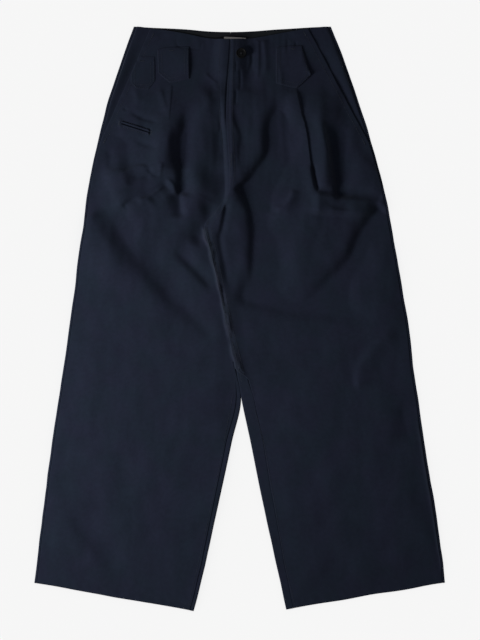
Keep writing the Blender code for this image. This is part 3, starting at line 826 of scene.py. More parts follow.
@dataclass
class Wiring:
    """A short way to add nodes to a tree and join them."""

    tree: NodeTree

    def put(self, socket: NodeSocket, value: object) -> None:
        """Joins an output to an input, or sets the input's own value.

        Args:
            socket: The input.
            value: An output, or the value itself.
        """
        if isinstance(value, NodeSocket):
            self.tree.links.new(value, socket)
        else:
            socket.default_value = value

    def join(self, inputs: bpy.types.bpy_prop_collection, values: dict[str | int, object]) -> None:
        """Joins or sets several inputs, by name or by number."""
        for name, value in values.items():
            self.put(inputs[name], value)

    def node(self, kind: str, values: dict[str | int, object] | None = None, **settings: object) -> Node:
        """A new node.

        Args:
            kind: The node's type, without its first words.
            values: What joins or sets its inputs, by name or by number.
            settings: The node's own settings.

        Returns:
            The node.
        """
        node = self.tree.nodes.new(f"ShaderNode{kind}")
        for name, setting in settings.items():
            setattr(node, name, setting)
        self.join(node.inputs, values or {})
        return node

    def math(self, operation: str, *values: object) -> NodeSocket:
        """A Math node of an operation on its values."""
        return self.node("Math", dict(enumerate(values)), operation=operation).outputs[0]

    def noise(self, vector: object, scale: float, detail: float = 2.0) -> NodeSocket:
        """A noise texture's value."""
        return self.node("TexNoise", {"Vector": vector, "Scale": scale, "Detail": detail}).outputs["Fac"]

    def mapped(self, value: object, low: float, high: float, to_low: float, to_high: float) -> NodeSocket:
        """A value moved from one range to another, clamped."""
        values = (value, low, high, to_low, to_high)
        return self.node("MapRange", dict(enumerate(values))).outputs["Result"]

    def mixed(self, share: object, first: object, second: object, blend: str = "MIX") -> NodeSocket:
        """A Mix node between two colours."""
        values = {0: share, 6: first, 7: second}
        return self.node("Mix", values, data_type="RGBA", blend_type=blend).outputs[2]

    def split(self, vector: object) -> bpy.types.bpy_prop_collection:
        """A vector's x, y and z."""
        return self.node("SeparateXYZ", {0: vector}).outputs

    def placed(self, group: NodeTree, **values: object) -> bpy.types.bpy_prop_collection:
        """A shared group, placed in the tree with its own values: gives its outputs."""
        return self.node("Group", values, node_tree=group).outputs

    def bumped(self, height: object, strength: float, distance: float) -> NodeSocket:
        """The normal of a surface that a height lies over."""
        values = {"Strength": strength, "Distance": distance, "Height": height}
        return self.node("Bump", values).outputs["Normal"]


def twill_group() -> NodeTree:
    """Diagonal wales crossed by weft yarns: puts out their height and the shade between them.

    Returns:
        The new group.
    """
    group = new_group(
        "twill_wales",
        {"Vector": "NodeSocketVector", "Pitch": "NodeSocketFloat", "Slub": "NodeSocketFloat"},
        {"Height": "NodeSocketFloat", "Shade": "NodeSocketFloat"},
    )
    wire = Wiring(group)
    given = group.nodes["in"].outputs
    place, pitch = given["Vector"], given["Pitch"]
    along = wire.split(place)
    wobble = wire.math("MULTIPLY", wire.noise(place, 90.0, 1.0), 0.0009)
    lean = wire.math("MULTIPLY_ADD", along["Y"], 0.5, wire.math("ADD", along["X"], wobble))
    wale = wire.math("SINE", wire.math("DIVIDE", wire.math("MULTIPLY", lean, 2 * pi), pitch))
    yarn = wire.math("SINE", wire.math("DIVIDE", wire.math("MULTIPLY", along["Y"], 4 * pi), pitch))
    height = wire.math("MULTIPLY_ADD", yarn, 0.3, wale)
    slub = wire.math("MULTIPLY", wire.noise(place, 420.0), given["Slub"])
    found = {
        "Height": wire.math("ADD", wire.mapped(height, -1.3, 1.3, 0.0, 1.0), slub),
        "Shade": wire.mapped(height, -1.3, 1.3, 0.84, 1.12),
    }
    wire.join(group.nodes["out"].inputs, found)
    return group


def mottle_group() -> NodeTree:
    """Cloudy unevenness of dyed cotton, at two sizes: puts out a shade near one and a faint tint.

    Returns:
        The new group.
    """
    group = new_group(
        "dye_mottle",
        {"Vector": "NodeSocketVector", "Amount": "NodeSocketFloat"},
        {"Shade": "NodeSocketFloat", "Tint": "NodeSocketColor"},
    )
    wire = Wiring(group)
    given = group.nodes["in"].outputs
    place = given["Vector"]
    broad, close = (wire.math("SUBTRACT", wire.noise(place, scale, 3.0), 0.5) for scale in (22.0, 150.0))
    drift = wire.mapped(wire.noise(place, 17.0, 3.0), 0.36, 0.64, 0.0, 1.0)
    found = {
        "Shade": wire.math("MULTIPLY_ADD", wire.math("ADD", broad, close), given["Amount"], 1.0),
        "Tint": wire.mixed(drift, (1.07, 0.97, 1.03, 1.0), (0.93, 1.03, 0.97, 1.0)),
    }
    wire.join(group.nodes["out"].inputs, found)
    return group


@dataclass(frozen=True)
class Finish:
    """What all finishes share: a name, and how a material is made from the shader's values."""

    name: str

    def values(self, wire: Wiring, groups: dict[str, NodeTree]) -> dict[str, object]:
        """What joins or sets the shader's inputs.

        Args:
            wire: The wiring of the material's tree.
            groups: The shared node groups by name.

        Returns:
            A value or an output for each input's name.
        """
        raise NotImplementedError

    def material(self, groups: dict[str, NodeTree]) -> Material:
        """Builds the material.

        Args:
            groups: The shared node groups by name.

        Returns:
            The new material.
        """
        material = bpy.data.materials.new(self.name)
        material.use_nodes = True
        wire = Wiring(material.node_tree)
        wire.join(material.node_tree.nodes["Principled BSDF"].inputs, self.values(wire, groups))
        return material


@dataclass(frozen=True)
class TwillFinish(Finish):
    """Matte cotton twill: its colour, the paler colour painted on seam ridges as painted highlight, its
    wales and its sheen.
    """

    colour: Colour
    # A paler colour painted along seam ridges as painted highlight.
    highlight_colour: Colour = (0.034, 0.040, 0.058)
    wale: float = 0.0011
    slub: float = 0.5
    relief: float = 0.35
    depth: float = 0.0002
    mottle: float = 0.38
    roughness: float = 0.84
    roughest: float = 0.92
    specular: float = 0.12
    sheen: float = 0.025
    sheen_roughness: float = 0.6

    def values(self, wire: Wiring, groups: dict[str, NodeTree]) -> dict[str, object]:
        """The twill's values, read on the cloth's own map and by its painted highlight mask.

        Args:
            wire: The wiring of the material's tree.
            groups: The shared node groups by name.

        Returns:
            A value or an output for each input's name.
        """
        place = wire.node("UVMap", uv_map="cloth").outputs["UV"]
        weave = wire.placed(groups["twill"], Vector=place, Pitch=self.wale, Slub=self.slub)
        cloud = wire.placed(groups["mottle"], Vector=place, Amount=self.mottle)
        # The painted highlight mask: mixes the paler colour into the twill along seam ridges.
        painted_highlight = wire.node("Attribute", attribute_name="painted_highlight").outputs["Fac"]
        base = wire.mixed(painted_highlight, (*self.colour, 1.0), (*self.highlight_colour, 1.0))
        toned = wire.mixed(1.0, base, cloud["Tint"], "MULTIPLY")
        shade = wire.math("MULTIPLY", weave["Shade"], cloud["Shade"])
        grey = wire.node("CombineColor", dict.fromkeys(range(3), shade)).outputs[0]
        return {
            "Base Color": wire.mixed(1.0, toned, grey, "MULTIPLY"),
            "Roughness": wire.mapped(weave["Height"], 0.0, 1.5, self.roughest, self.roughness),
            "Specular IOR Level": self.specular,
            "Sheen Weight": self.sheen,
            "Sheen Roughness": self.sheen_roughness,
            "Normal": wire.bumped(weave["Height"], self.relief, self.depth),
        }


@dataclass(frozen=True)
class ThreadFinish(Finish):
    """Polished sewing thread: two plies twisted together, a little paler than the cloth."""

    name: str = "navy_thread"
    colour: Colour = (0.030, 0.037, 0.057)
    dark: Colour = (0.014, 0.018, 0.030)
    twist: float = 900.0

    def values(self, wire: Wiring, groups: dict[str, NodeTree]) -> dict[str, object]:
        """The thread's values, with its twist in relief.

        Args:
            wire: The wiring of the material's tree.
            groups: The shared node groups by name.

        Returns:
            A value or an output for each input's name.
        """
        place = wire.node("TexCoord").outputs["Object"]
        ply = {"Vector": place, "Scale": self.twist, "Distortion": 1.5}
        twist = wire.node("TexWave", ply, bands_direction="DIAGONAL").outputs["Fac"]
        shade = wire.mapped(wire.noise(place, 300.0), 0.3, 0.7, 0.0, 1.0)
        return {
            "Base Color": wire.mixed(shade, (*self.dark, 1.0), (*self.colour, 1.0)),
            "Roughness": 0.55,
            "Specular IOR Level": 0.3,
            "Normal": wire.bumped(twist, 0.4, 0.0001),
        }


@dataclass(frozen=True)
class TapeFinish(Finish):
    """Plain woven tape, as a blank label is cut from."""

    name: str = "pale_tape"
    colour: Colour = (0.84, 0.80, 0.80)
    gap: Colour = (0.55, 0.52, 0.52)
    warp: float = 9000.0
    weft: float = 7000.0

    def values(self, wire: Wiring, groups: dict[str, NodeTree]) -> dict[str, object]:
        """The tape's values, with fine crossed ribs.

        Args:
            wire: The wiring of the material's tree.
            groups: The shared node groups by name.

        Returns:
            A value or an output for each input's name.
        """
        place = wire.node("UVMap", uv_map="cloth").outputs["UV"]
        along = wire.split(place)
        ribs = []
        for way, pitch in (("X", self.warp), ("Y", self.weft)):
            turn = wire.math("MULTIPLY", along[way], pitch)
            ribs.append(wire.math("ABSOLUTE", wire.math("SINE", turn)))
        weave = wire.math("MULTIPLY", *ribs)
        cloud = wire.placed(groups["mottle"], Vector=place, Amount=0.4)
        tone = wire.math("MULTIPLY", wire.mapped(weave, 0.0, 1.0, 0.35, 1.0), cloud["Shade"])
        return {
            "Base Color": wire.mixed(tone, (*self.gap, 1.0), (*self.colour, 1.0)),
            "Roughness": 0.7,
            "Normal": wire.bumped(weave, 0.4, 0.00015),
        }


@dataclass(frozen=True)
class ButtonFinish(Finish):
    """Dark satin resin with cloudy streaks and an uneven polish."""

    name: str = "dark_resin"
    colour: Colour = (0.0022, 0.0023, 0.0030)
    streak: Colour = (0.0048, 0.0049, 0.0058)

    def values(self, wire: Wiring, groups: dict[str, NodeTree]) -> dict[str, object]:
        """The resin's values, with its streaks and its polish.

        Args:
            wire: The wiring of the material's tree.
            groups: The shared node groups by name.

        Returns:
            A value or an output for each input's name.
        """
        place = wire.node("TexCoord").outputs["Object"]
        cloud = wire.mapped(wire.noise(place, 240.0, 4.0), 0.35, 0.7, 0.0, 1.0)
        return {
            "Base Color": wire.mixed(cloud, (*self.colour, 1.0), (*self.streak, 1.0)),
            "Roughness": wire.mapped(wire.noise(place, 900.0), 0.3, 0.7, 0.52, 0.68),
            "Specular IOR Level": 0.12,
            "Normal": wire.bumped(wire.noise(place, 1500.0), 0.15, 0.0001),
        }


def added(name: str, data: bpy.types.ID) -> Object:
    """A new object in the scene, with its mesh, light or camera.

    Args:
        name: The object's name.
        data: Its mesh, light or camera.

    Returns:
        The new object.
    """
    item = bpy.data.objects.new(name, data)
    bpy.context.scene.collection.objects.link(item)
    return item


def mesh_of(name: str, shape: bmesh.types.BMesh) -> bpy.types.Mesh:
    """A mesh with a worked shape, which isn't needed after that.

    Args:
        name: The mesh's name.
        shape: The worked shape.

    Returns:
        The new mesh.
    """
    mesh = bpy.data.meshes.new(name)
    shape.to_mesh(mesh)
    shape.free()
    return mesh


@dataclass
class Wall:
    """A closed wall of cloth between two grids of points."""

    name: str
    lower: Array
    upper: Array
    plan: Array
    # Painted highlight: how much paler colour is painted at each point.
    painted_highlight: Array | None = None
    cells: Array | None = None
    sharp: float = 55.0

    @classmethod
    def between(
        cls,
        name: str,
        x: Array,
        y: Array,
        under: Array,
        upper: Array,
        plan: Array | None = None,
        painted_highlight: Array | None = None,
    ) -> Self:
        """The wall between two heights over the same plan points.

        Args:
            name: The wall's name.
            x: The points' x.
            y: The points' y.
            under: Heights of the underside.
            upper: Heights of the upper face.
            plan: The cloth's own map, if it isn't x and y.
            painted_highlight: How much paler colour is painted at each point, as painted highlight on seam
                ridges.

        Returns:
            The wall, not yet built.
        """
        if plan is None:
            plan = np.stack([x, y], axis=-1)
        return cls(name, np.stack([x, y, under], axis=-1), np.stack([x, y, upper], axis=-1), plan, painted_highlight)

    def build(self, material: Material) -> Object:
        """Makes the wall as a smooth mesh with a cloth map and its painted highlight mask.

        Args:
            material: The finish of the whole wall.

        Returns:
            The new object.
        """
        rows, columns = self.upper.shape[:2]
        count = rows * columns
        index = np.arange(count).reshape(rows, columns)
        quads = np.stack([index[:-1, :-1], index[1:, :-1], index[1:, 1:], index[:-1, 1:]], axis=-1)
        down = self.upper[1:, :-1] - self.upper[:-1, :-1]
        across = self.upper[:-1, 1:] - self.upper[:-1, :-1]
        out = (self.upper - self.lower)[:-1, :-1]
        kept = np.ones((rows - 1, columns - 1), bool) if self.cells is None else self.cells
        facing = (np.cross(down, across) * out).sum(axis=-1)[kept].sum()
        quads = quads[kept]
        if facing < 0:
            quads = quads[:, ::-1]
        start, end = quads.ravel(), np.roll(quads, -1, axis=1).ravel()
        border = ~np.isin(start * count + end, end * count + start)
        a, b = start[border], end[border]
        sides = np.stack([b, a, a + count, b + count], axis=-1)
        faces = np.vstack([quads, quads[:, ::-1] + count, sides])
        used, packed = np.unique(faces, return_inverse=True)
        points = drifted(np.vstack([self.upper.reshape(-1, 3), self.lower.reshape(-1, 3)])[used]) * MM
        mesh = bpy.data.meshes.new(self.name)
        mesh.from_pydata(points.tolist(), [], packed.reshape(faces.shape).tolist())
        plan = np.vstack([self.plan.reshape(-1, 2)] * 2)[used] * MM
        corners = np.empty(len(mesh.loops), int)
        mesh.loops.foreach_get("vertex_index", corners)
        # The inside band is greyer than the twill, and its darker colour is painted shade of the recess
        # under the front waist edge.
        mesh.uv_layers.new(name="cloth").data.foreach_set("uv", plan[corners].ravel())
        # Stores the painted highlight mask as a point attribute.
        if self.painted_highlight is not None:
            painted_highlight = np.concatenate([self.painted_highlight.ravel()] * 2)[used].astype(np.float32)
            mesh.attributes.new("painted_highlight", "FLOAT", "POINT").data.foreach_set("value", painted_highlight)
        mesh.materials.append(material)
        mesh.shade_smooth()
        mesh.set_sharp_from_angle(angle=radians(self.sharp))
        return added(self.name, mesh)


def rolled(away: Array, radius: float, depth: float) -> Array:
    """How far a folded edge rolls down.

    Args:
        away: Distances from the edge.
        radius: How far in the roll reaches.
        depth: How far it comes down at the edge itself.

    Returns:
        The drop at each distance.
    """
    t = np.clip(1.0 - away / radius, 0.0, 1.0)
    return depth * (1.0 - np.sqrt(np.maximum(1.0 - t * t, 0.0)))


# Where points lie closer together: a share of the way, how far that reaches and how much closer they lie
CLOSER_ENDS = ((0.0, 1.6, 7.0), (1.0, 1.6, 7.0))


def spacing(count: int, length: float, *closer: tuple[float, float, float]) -> Array:
    """Shares from 0 to 1 that lie closer together at both ends and at chosen places.

    Args:
        count: How many shares there are.
        length: The distance that the shares stand for.
        closer: Further places: a share, how far the closeness reaches, and how much closer it is.

    Returns:
        The shares, in order.
    """
    reach = np.linspace(0.0, 1.0, 6001)
    density = np.ones(reach.shape)
    for place, width, gain in (*CLOSER_ENDS, *closer):
        density += gain * np.exp(-(((reach - place) * length / width) ** 2))
    total = np.concatenate([[0.0], np.cumsum((density[1:] + density[:-1]) / 2)])
    return np.interp(np.linspace(0.0, 1.0, count), total / total[-1], reach)


def finished(piece: Object, slot: str, *nodes: str) -> Object:
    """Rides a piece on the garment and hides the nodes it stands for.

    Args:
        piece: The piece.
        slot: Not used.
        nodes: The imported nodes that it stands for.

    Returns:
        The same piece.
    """
    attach(piece, "root")
    if nodes:
        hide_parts(*nodes)
    triangles = sum(len(face.vertices) - 2 for face in piece.data.polygons) if piece.type == "MESH" else 0
    LOG.info("%s: %d triangles", piece.name, triangles)
    return piece


def strands(routes: Array, radii: Array, sides: int = 6) -> tuple[Array, Array, Array]:
    """Round strands along routes that all have the same number of points.

    Args:
        routes: Points, as strands x points x 3.
        radii: The strand's radius at each of its points.
        sides: How many sides a strand has.

    Returns:
        The points, the four-sided faces, and the end caps.
    """
    count, steps = routes.shape[:2]
    along = np.gradient(routes, axis=1)
    along /= np.linalg.norm(along, axis=-1, keepdims=True)
    across = np.cross(along, [0.0, 0.0, 1.0])
    across /= np.linalg.norm(across, axis=-1, keepdims=True)
    rise = np.cross(across, along)
    angle = 2 * pi * np.arange(sides) / sides
    ring = np.cos(angle)[:, None] * across[:, :, None] + np.sin(angle)[:, None] * rise[:, :, None]
    points = routes[:, :, None] + radii[None, :, None, None] * ring
    index = np.arange(count * steps * sides).reshape(count, steps, sides)
    near, far = index[:, :-1], index[:, 1:]
    sheets = [near, np.roll(near, -1, axis=-1), np.roll(far, -1, axis=-1), far]
    faces = np.stack(sheets, axis=-1).reshape(-1, 4)
    caps = np.vstack([index[:, 0, ::-1], index[:, -1]])
    return points.reshape(-1, 3), faces, caps


def strand_piece(name: str, routes: Array, radii: Array, material: Material) -> Object:
    """One piece made of many strands.

    Args:
        name: The piece's name.
        routes: Points in millimetres, as strands x points x 3.
        radii: The strand's radius at each of its points.
        material: The thread's finish.

    Returns:
        The new object.
    """
    points, faces, caps = strands(drifted(routes), radii)
    mesh = bpy.data.meshes.new(name)
    mesh.from_pydata((points * MM).tolist(), [], faces.tolist() + caps.tolist())
    mesh.materials.append(material)
    mesh.shade_smooth()
    return added(name, mesh)


@dataclass(frozen=True)
class Seam:
    """One row of stitches: the points that it passes through and how its stitches are spaced."""

    path: tuple[Point, ...]
    pitch: float = 3.4
    length: float = 2.6
    curved: bool = True

    def stitches(self) -> Array:
        """Five plan points along each stitch, as stitches x 5 x 2.

        Returns:
            The points, in millimetres.
        """
        route = curve_through(self.path, 8) if self.curved else np.asarray(self.path, float)
        reach = np.concatenate([[0], np.cumsum(np.hypot(*np.diff(route, axis=0).T))])
        centres = np.arange(self.pitch / 2, reach[-1] - self.pitch / 2, self.pitch)
        places = centres[:, None] + self.length / 2 * STITCH_REACH
        return np.stack([np.interp(places, reach, values) for values in route.T], axis=-1)


@dataclass(frozen=True)
class BarTack:
    """A short dense bar of zigzag stitches that holds an end under strain."""

    centre: Point
    length: float = 9.0
    width: float = 1.8
    angle: float = 90.0
    pitch: float = 0.75

    def stitches(self) -> Array:
        """Five plan points along each stitch, as stitches x 5 x 2.

        Returns:
            The points, in millimetres.
        """
        turn = radians(self.angle)
        way, side = np.array([cos(turn), sin(turn)]), np.array([-sin(turn), cos(turn)])
        centres = np.arange(-self.length / 2, self.length / 2, self.pitch)
        across = self.width / 2 * STITCH_REACH
        lean = 0.25 * self.pitch * np.where(np.arange(len(centres)) % 2, 1.0, -1.0)
        along = centres[:, None] + lean[:, None] * STITCH_REACH
        return np.asarray(self.centre) + along[..., None] * way + across[:, None] * side


@dataclass
class Stitching:
    """All the stitches that lie on one cloth, joined in one mesh."""

    name: str
    surface: Callable[[Array, Array], Array]
    rows: tuple[Seam | BarTack, ...]
    radius: float = 0.27

    def build(self, material: Material) -> Object:
        """Makes the stitches.

        Args:
            material: The thread.

        Returns:
            The stitches' object.
        """
        plan = np.concatenate([row.stitches() for row in self.rows])
        height = self.surface(plan[..., 0].ravel(), plan[..., 1].ravel()).reshape(plan.shape[:2])
        height = height + self.radius * STITCH_RISE
        routes = np.concatenate([plan, height[..., None]], axis=-1)
        return finished(strand_piece(self.name, routes, self.radius * STITCH_WIDTH, material), "twill")


@dataclass
class FrontPanel:
    """One front, from the waist edge and the slanted pocket down to the hem.

    A roll is how far in a folded edge's roundness reaches and how far it comes down. A pair of rows is the
    row where a change starts and how many rows it takes.
    """

    plan: LegPlan
    relief: FrontRelief
    flat: tuple[float, float]
    area: float
    closer: tuple[tuple[float, float, float], ...]
    columns: int = 132
    girth: float = 230.0
    underlap: float = 4.0
    tuck: float = 0.5
    roll: Point = (1.3, 0.9)
    crotch_ease: float = 2.4
    crotch_rows: Point = (13.2, 0.6)
    parting_rows: Point = (14.15, 0.35)

    @property
    def side(self) -> Side:
        """The side of the photograph that the front lies on."""
        return self.plan.side

    def rows(self) -> Array:
        """Row numbers, close together over the hips and at the two cut edges.

        Returns:
            The numbers, whole at the sections.
        """
        waist = [0.0, 0.008, 0.02, 0.033]
        hips = np.linspace(0.06, 11.0, 214)
        legs = np.linspace(11.0, 19.7, 108)[1:]
        hem = [*np.arange(19.72, 19.96, 0.02), 19.968, 19.98, 19.991, 20.0]
        return np.concatenate([waist, hips, [13.985, 14.0], legs, hem])

    def limits(self, rows: Array, lines: Lines) -> tuple[Array, Array]:
        """Where the front starts and ends along each row.

        Args:
            rows: The row numbers.
            lines: The outline at the rows.

        Returns:
            Distances from the outer edge, of the start and of the end.
        """
        start = np.full(rows.shape, SIDE_LAP + HALF_GAP)
        pocket = self.plan.pocket_distance(lines)
        start = np.where(rows < POCKET_END_ROW, np.maximum(start, pocket), start)
        end = lines.width - HALF_GAP
        if self.side is Side.LEFT:
            end += np.where(rows < SPLIT_ROW, self.underlap + HALF_GAP, -lines.lap)
        else:
            places = (self.crotch_rows, self.parting_rows)
            eased, parted = (smooth((rows - first) / fade) for first, fade in places)
            end += self.crotch_ease * eased * (1.0 - parted) - lines.lap * parted
        return start, end

    def surface(self, x: Array, y: Array) -> Array:
        """Height of the front's upper face."""
        return self.relief.underside(np.asarray(x, float), np.asarray(y, float), self.side) + CLOTH

    def build(self, material: Material) -> Object:
        """Makes the front.

        Args:
            material: The twill.

        Returns:
            The front's object.
        """
        rows = np.unique(self.rows())
        lines = self.plan.lines(rows)
        start, end = self.limits(rows, lines)
        shares = spacing(self.columns, self.girth, *self.closer)
        away = start[:, None] + (end - start)[:, None] * shares[None, :]
        x, y = lines.at(away)
        under = self.relief.underside(x, y, self.side)
        if self.side is Side.LEFT:
            hidden = np.clip((away - (end - self.underlap)[:, None]) / self.underlap, 0, 1)
            under -= np.where(rows < SPLIT_ROW, 1.0, 0.0)[:, None] * self.tuck * smooth(hidden)
        length = lines.length
        inset = np.minimum(away - start[:, None], end[:, None] - away)
        inset = np.minimum(inset, np.minimum(length, length[-1] - length)[:, None])
        upper = under + CLOTH - rolled(inset, *self.roll)
        # Painted highlight: the paler colour is painted along the creases that carry it.
        painted_highlight = np.zeros(x.shape)
        for fold in FINE_CREASES:
            if fold.painted_highlight:
                painted_highlight += fold.painted_highlight * fold.share(x, y)
        name = f"front_{self.side.value}_cloth"
        wall = Wall.between(name, x, y, under, upper, lines.cloth(away), np.clip(painted_highlight, 0, 1))
        piece = wall.build(material)
        finished(piece, "twill", f"front_{self.side.value}")
        f"back_{self.side.value}"
        return piece


@dataclass
class BackPanel:
    """One back: the lower layer, folded round to the front at the outseam and at the inner leg.

    The side fields are for the lap at the outseam, which rises under the front below the pocket. The
    others are for the fold and the lap at the inner leg, which starts where the legs part.
    """

    plan: LegPlan
    relief: FrontRelief
    flat: Point
    area: float
    fold_steps: int = 8
    floor_columns: int = 40
    lap_columns: int = 6
    fold_height: float = 0.6
    lap_rise: float = 0.0
    lap_rows: float = 1.3
    split_height: float = 6.0
    side_highest: float = 9.0
    side_rows: Point = (6.5, 2.0)
    side_shares: tuple[float, ...] = (1.0, 0.7, 0.4)

    def beneath(self, lines: Lines, away: Array) -> Array:
        """Height of the front's underside in each row, at a distance from the outer edge."""
        x, y = lines.at(away[:, None])
        return self.relief.underside(x[:, 0], y[:, 0], Side.LEFT)

    def turn(self, lines: Lines, edge: Array, inwards: float, top: Array) -> list[tuple[Array, Array]]:
        """The fold at one edge, from the lower layer up to the upper one.

        Args:
            lines: The back's outline.
            edge: The fold's place along each row.
            inwards: The way along the row into the cloth.
            top: Height of the upper layer's underside.

        Returns:
            A point and an outward direction array for each step of the fold.
        """
        centre = edge + inwards * (FOLD_RADIUS + CLOTH)
        ex = (lines.inner_x - lines.outer_x) / lines.width
        ey = (lines.inner_y - lines.outer_y) / lines.width
        middle, half = (top + BACK_TOP) / 2, (top - BACK_TOP) / 2
        found = []
        for step in range(self.fold_steps + 1):
            angle = pi * step / self.fold_steps
            out = -inwards * sin(angle)
            point = lines.points(centre + out * FOLD_RADIUS, middle - half * cos(angle))
            direction = np.stack([ex * out, ey * out, np.full(ex.shape, -cos(angle))], axis=-1)
            found.append((point, direction))
        return found

    def build(self, material: Material) -> Object:
        """Makes the back.

        Args:
            material: The twill.

        Returns:
            The back's object.
        """
        side = self.plan.side
        rows = np.unique(np.concatenate([np.linspace(0, 14, 141), [13.985], np.linspace(14, 20, 121)]))
        lines = self.plan.lines(rows, back=True)
        width = lines.width
        lapped = rows >= SPLIT_ROW
        up = np.tile([0.0, 0.0, 1.0], (len(rows), 1))
        down = -up
        turn = FOLD_RADIUS + CLOTH
        lap = np.full(len(rows), SIDE_LAP)
        first, fade = self.side_rows
        raised = np.clip(self.beneath(lines, lap) - FRONT_REST, 0.0, self.side_highest)
        rest = FRONT_REST + raised * smooth((rows - first) / fade)
        reach = lap - HALF_GAP - turn
        columns = [(lines.points(turn + share * reach, rest), up) for share in self.side_shares]
        columns += reversed(self.turn(lines, np.zeros(len(rows)), 1.0, rest))
        end = np.where(lapped, width - HALF_GAP - turn, width - HALF_GAP)
        floor = np.full(len(rows), BACK_TOP)
        for column in range(1, self.floor_columns):
            columns.append((lines.points(turn + (end - turn) * column / self.floor_columns, floor), down))
        lap_end = np.where(lapped, width - lines.lap + HALF_GAP, end)
        top = np.where(lapped, self.beneath(lines, lap_end), BACK_TOP)
        apart = smooth((rows - SPLIT_ROW) / self.lap_rows)
        highest = FRONT_REST + self.fold_height + self.split_height * (1.0 - apart)
        fold_top = np.where(lapped, np.minimum(top + self.lap_rise * apart, highest), BACK_TOP)
        inner = self.turn(lines, width - HALF_GAP, -1.0, fold_top)
        inner[0] = (lines.points(end, floor), down)
        split = len(columns)
        columns += inner
        lap_start = width - HALF_GAP - turn
        for column in range(1, self.lap_columns + 1):
            share = column / self.lap_columns
            height = fold_top + (top - fold_top) * smooth(share)
            columns.append((lines.points(lap_start + share * (lap_end - lap_start), height), up))
        points, ways = (np.stack(parts, axis=1) for parts in zip(*columns))
        ways = ways / np.linalg.norm(ways, axis=-1, keepdims=True)
        cells = np.ones((len(rows) - 1, len(columns) - 1), bool)
        cells[rows[:-1] < SPLIT_ROW, split:] = False
        steps = np.linalg.norm(np.diff(points, axis=1), axis=-1)
        across = np.concatenate([np.zeros((len(rows), 1)), np.cumsum(steps, axis=1)], axis=1)
        name = f"back_{side.value}"
        wall = Wall(f"{name}_cloth", points, points + ways * CLOTH, lines.cloth(across), cells=cells)
        piece = finished(wall.build(material), "twill", name)
        return piece


@dataclass
class HipFacing:
    """The cloth that shows beyond a slanted pocket opening, swollen least at the waist."""

    plan: LegPlan
    flat: tuple[float, float]
    area: float
    swell: float
    crest: float
    tuck: float = 8.0
    wide: float = 30.0
    waist_share: float = 0.35
    waist_rows: Point = (0.6, 1.6)
    ripple: Undulation = Undulation(30, 24, 0.5, 4.4)
    roll: Point = (1.2, 0.8)
    row_count: int = 121
    column_count: int = 25

    def build(self, material: Material) -> Object:
        """Makes the facing.

        Args:
            material: The twill.

        Returns:
            The facing's object.
        """
        rows = np.linspace(0.0, POCKET_END_ROW, self.row_count)
        lines = self.plan.lines(rows)
        start = np.full(rows.shape, SIDE_LAP + HALF_GAP)
        opening = np.maximum(self.plan.pocket_distance(lines), start)
        end = opening + self.tuck
        shares = np.linspace(0.0, 1.0, self.column_count)
        away = start[:, None] + (end - start)[:, None] * shares[None, :]
        x, y = lines.at(away)
        middle = np.clip((away - start[:, None]) / np.maximum(opening - start, 1e-3)[:, None], 0, 1)
        hump = smooth(middle / self.crest) * smooth((1.0 - middle) / (1.0 - self.crest))
        first, fade = self.waist_rows
        down = self.waist_share + (1.0 - self.waist_share) * smooth((rows - first) / fade)
        hump *= (smooth((opening - start) / self.wide) * down)[:, None]
        under = FRONT_REST + self.swell * hump + self.ripple.at(x, y) * hump
        upper = under + CLOTH - rolled(away - start[:, None], *self.roll)
        side = self.plan.side.value
        wall = Wall.between(f"hip_facing_{side}_cloth", x, y, under, upper, lines.cloth(away))
        piece = wall.build(material)
        finished(piece, "twill", f"hip_facing_{side}")
        return piece


@dataclass
class WaistFacing:
    """The band inside the back waist, seen above the front waist edge."""

    left_x: float = -147.0
    right_x: float = 108.0
    height: float = 50.0
    inset: float = 2.0
    low_x: float = -18.0
    roll: Point = (1.0, 0.6)
    row_count: int = 24
    column_count: int = 90

    def top_y(self, x: Array) -> Array:
        """The y of the band's upper edge at each x.

        Args:
            x: The points' x.

        Returns:
            The edge's y there.
        """
        ends = (LEFT_PLAN.sections[0], RIGHT_PLAN.sections[0])
        left, right = ((x - end.outer_x) / (self.low_x - end.outer_x) for end in ends)
        high = ends[0].outer_y
        return high - smooth(np.where(x < self.low_x, left, right)) * (high - BACK_WAIST_Y) - self.inset

    def build(self, material: Material) -> Object:
        """Makes the band.

        Args:
            material: The twill's inner face, greyer than the outside and darkened as painted shade.

        Returns:
            The band's object.
        """
        width = self.right_x - self.left_x
        across = self.left_x + spacing(self.column_count, width) * width
        drop = spacing(self.row_count, self.height) * self.height
        x = np.broadcast_to(across[None, :], (len(drop), len(across)))
        y = self.top_y(x) - drop[:, None]
        under = np.full(x.shape, FRONT_REST)
        inset = np.minimum(drop, self.height - drop)[:, None]
        upper = under + FACING_CLOTH - rolled(inset, *self.roll)
        piece = Wall.between("waist_facing_cloth", x, y, under, upper).build(material)
        finished(piece, "inside", "waist_facing")
        return piece


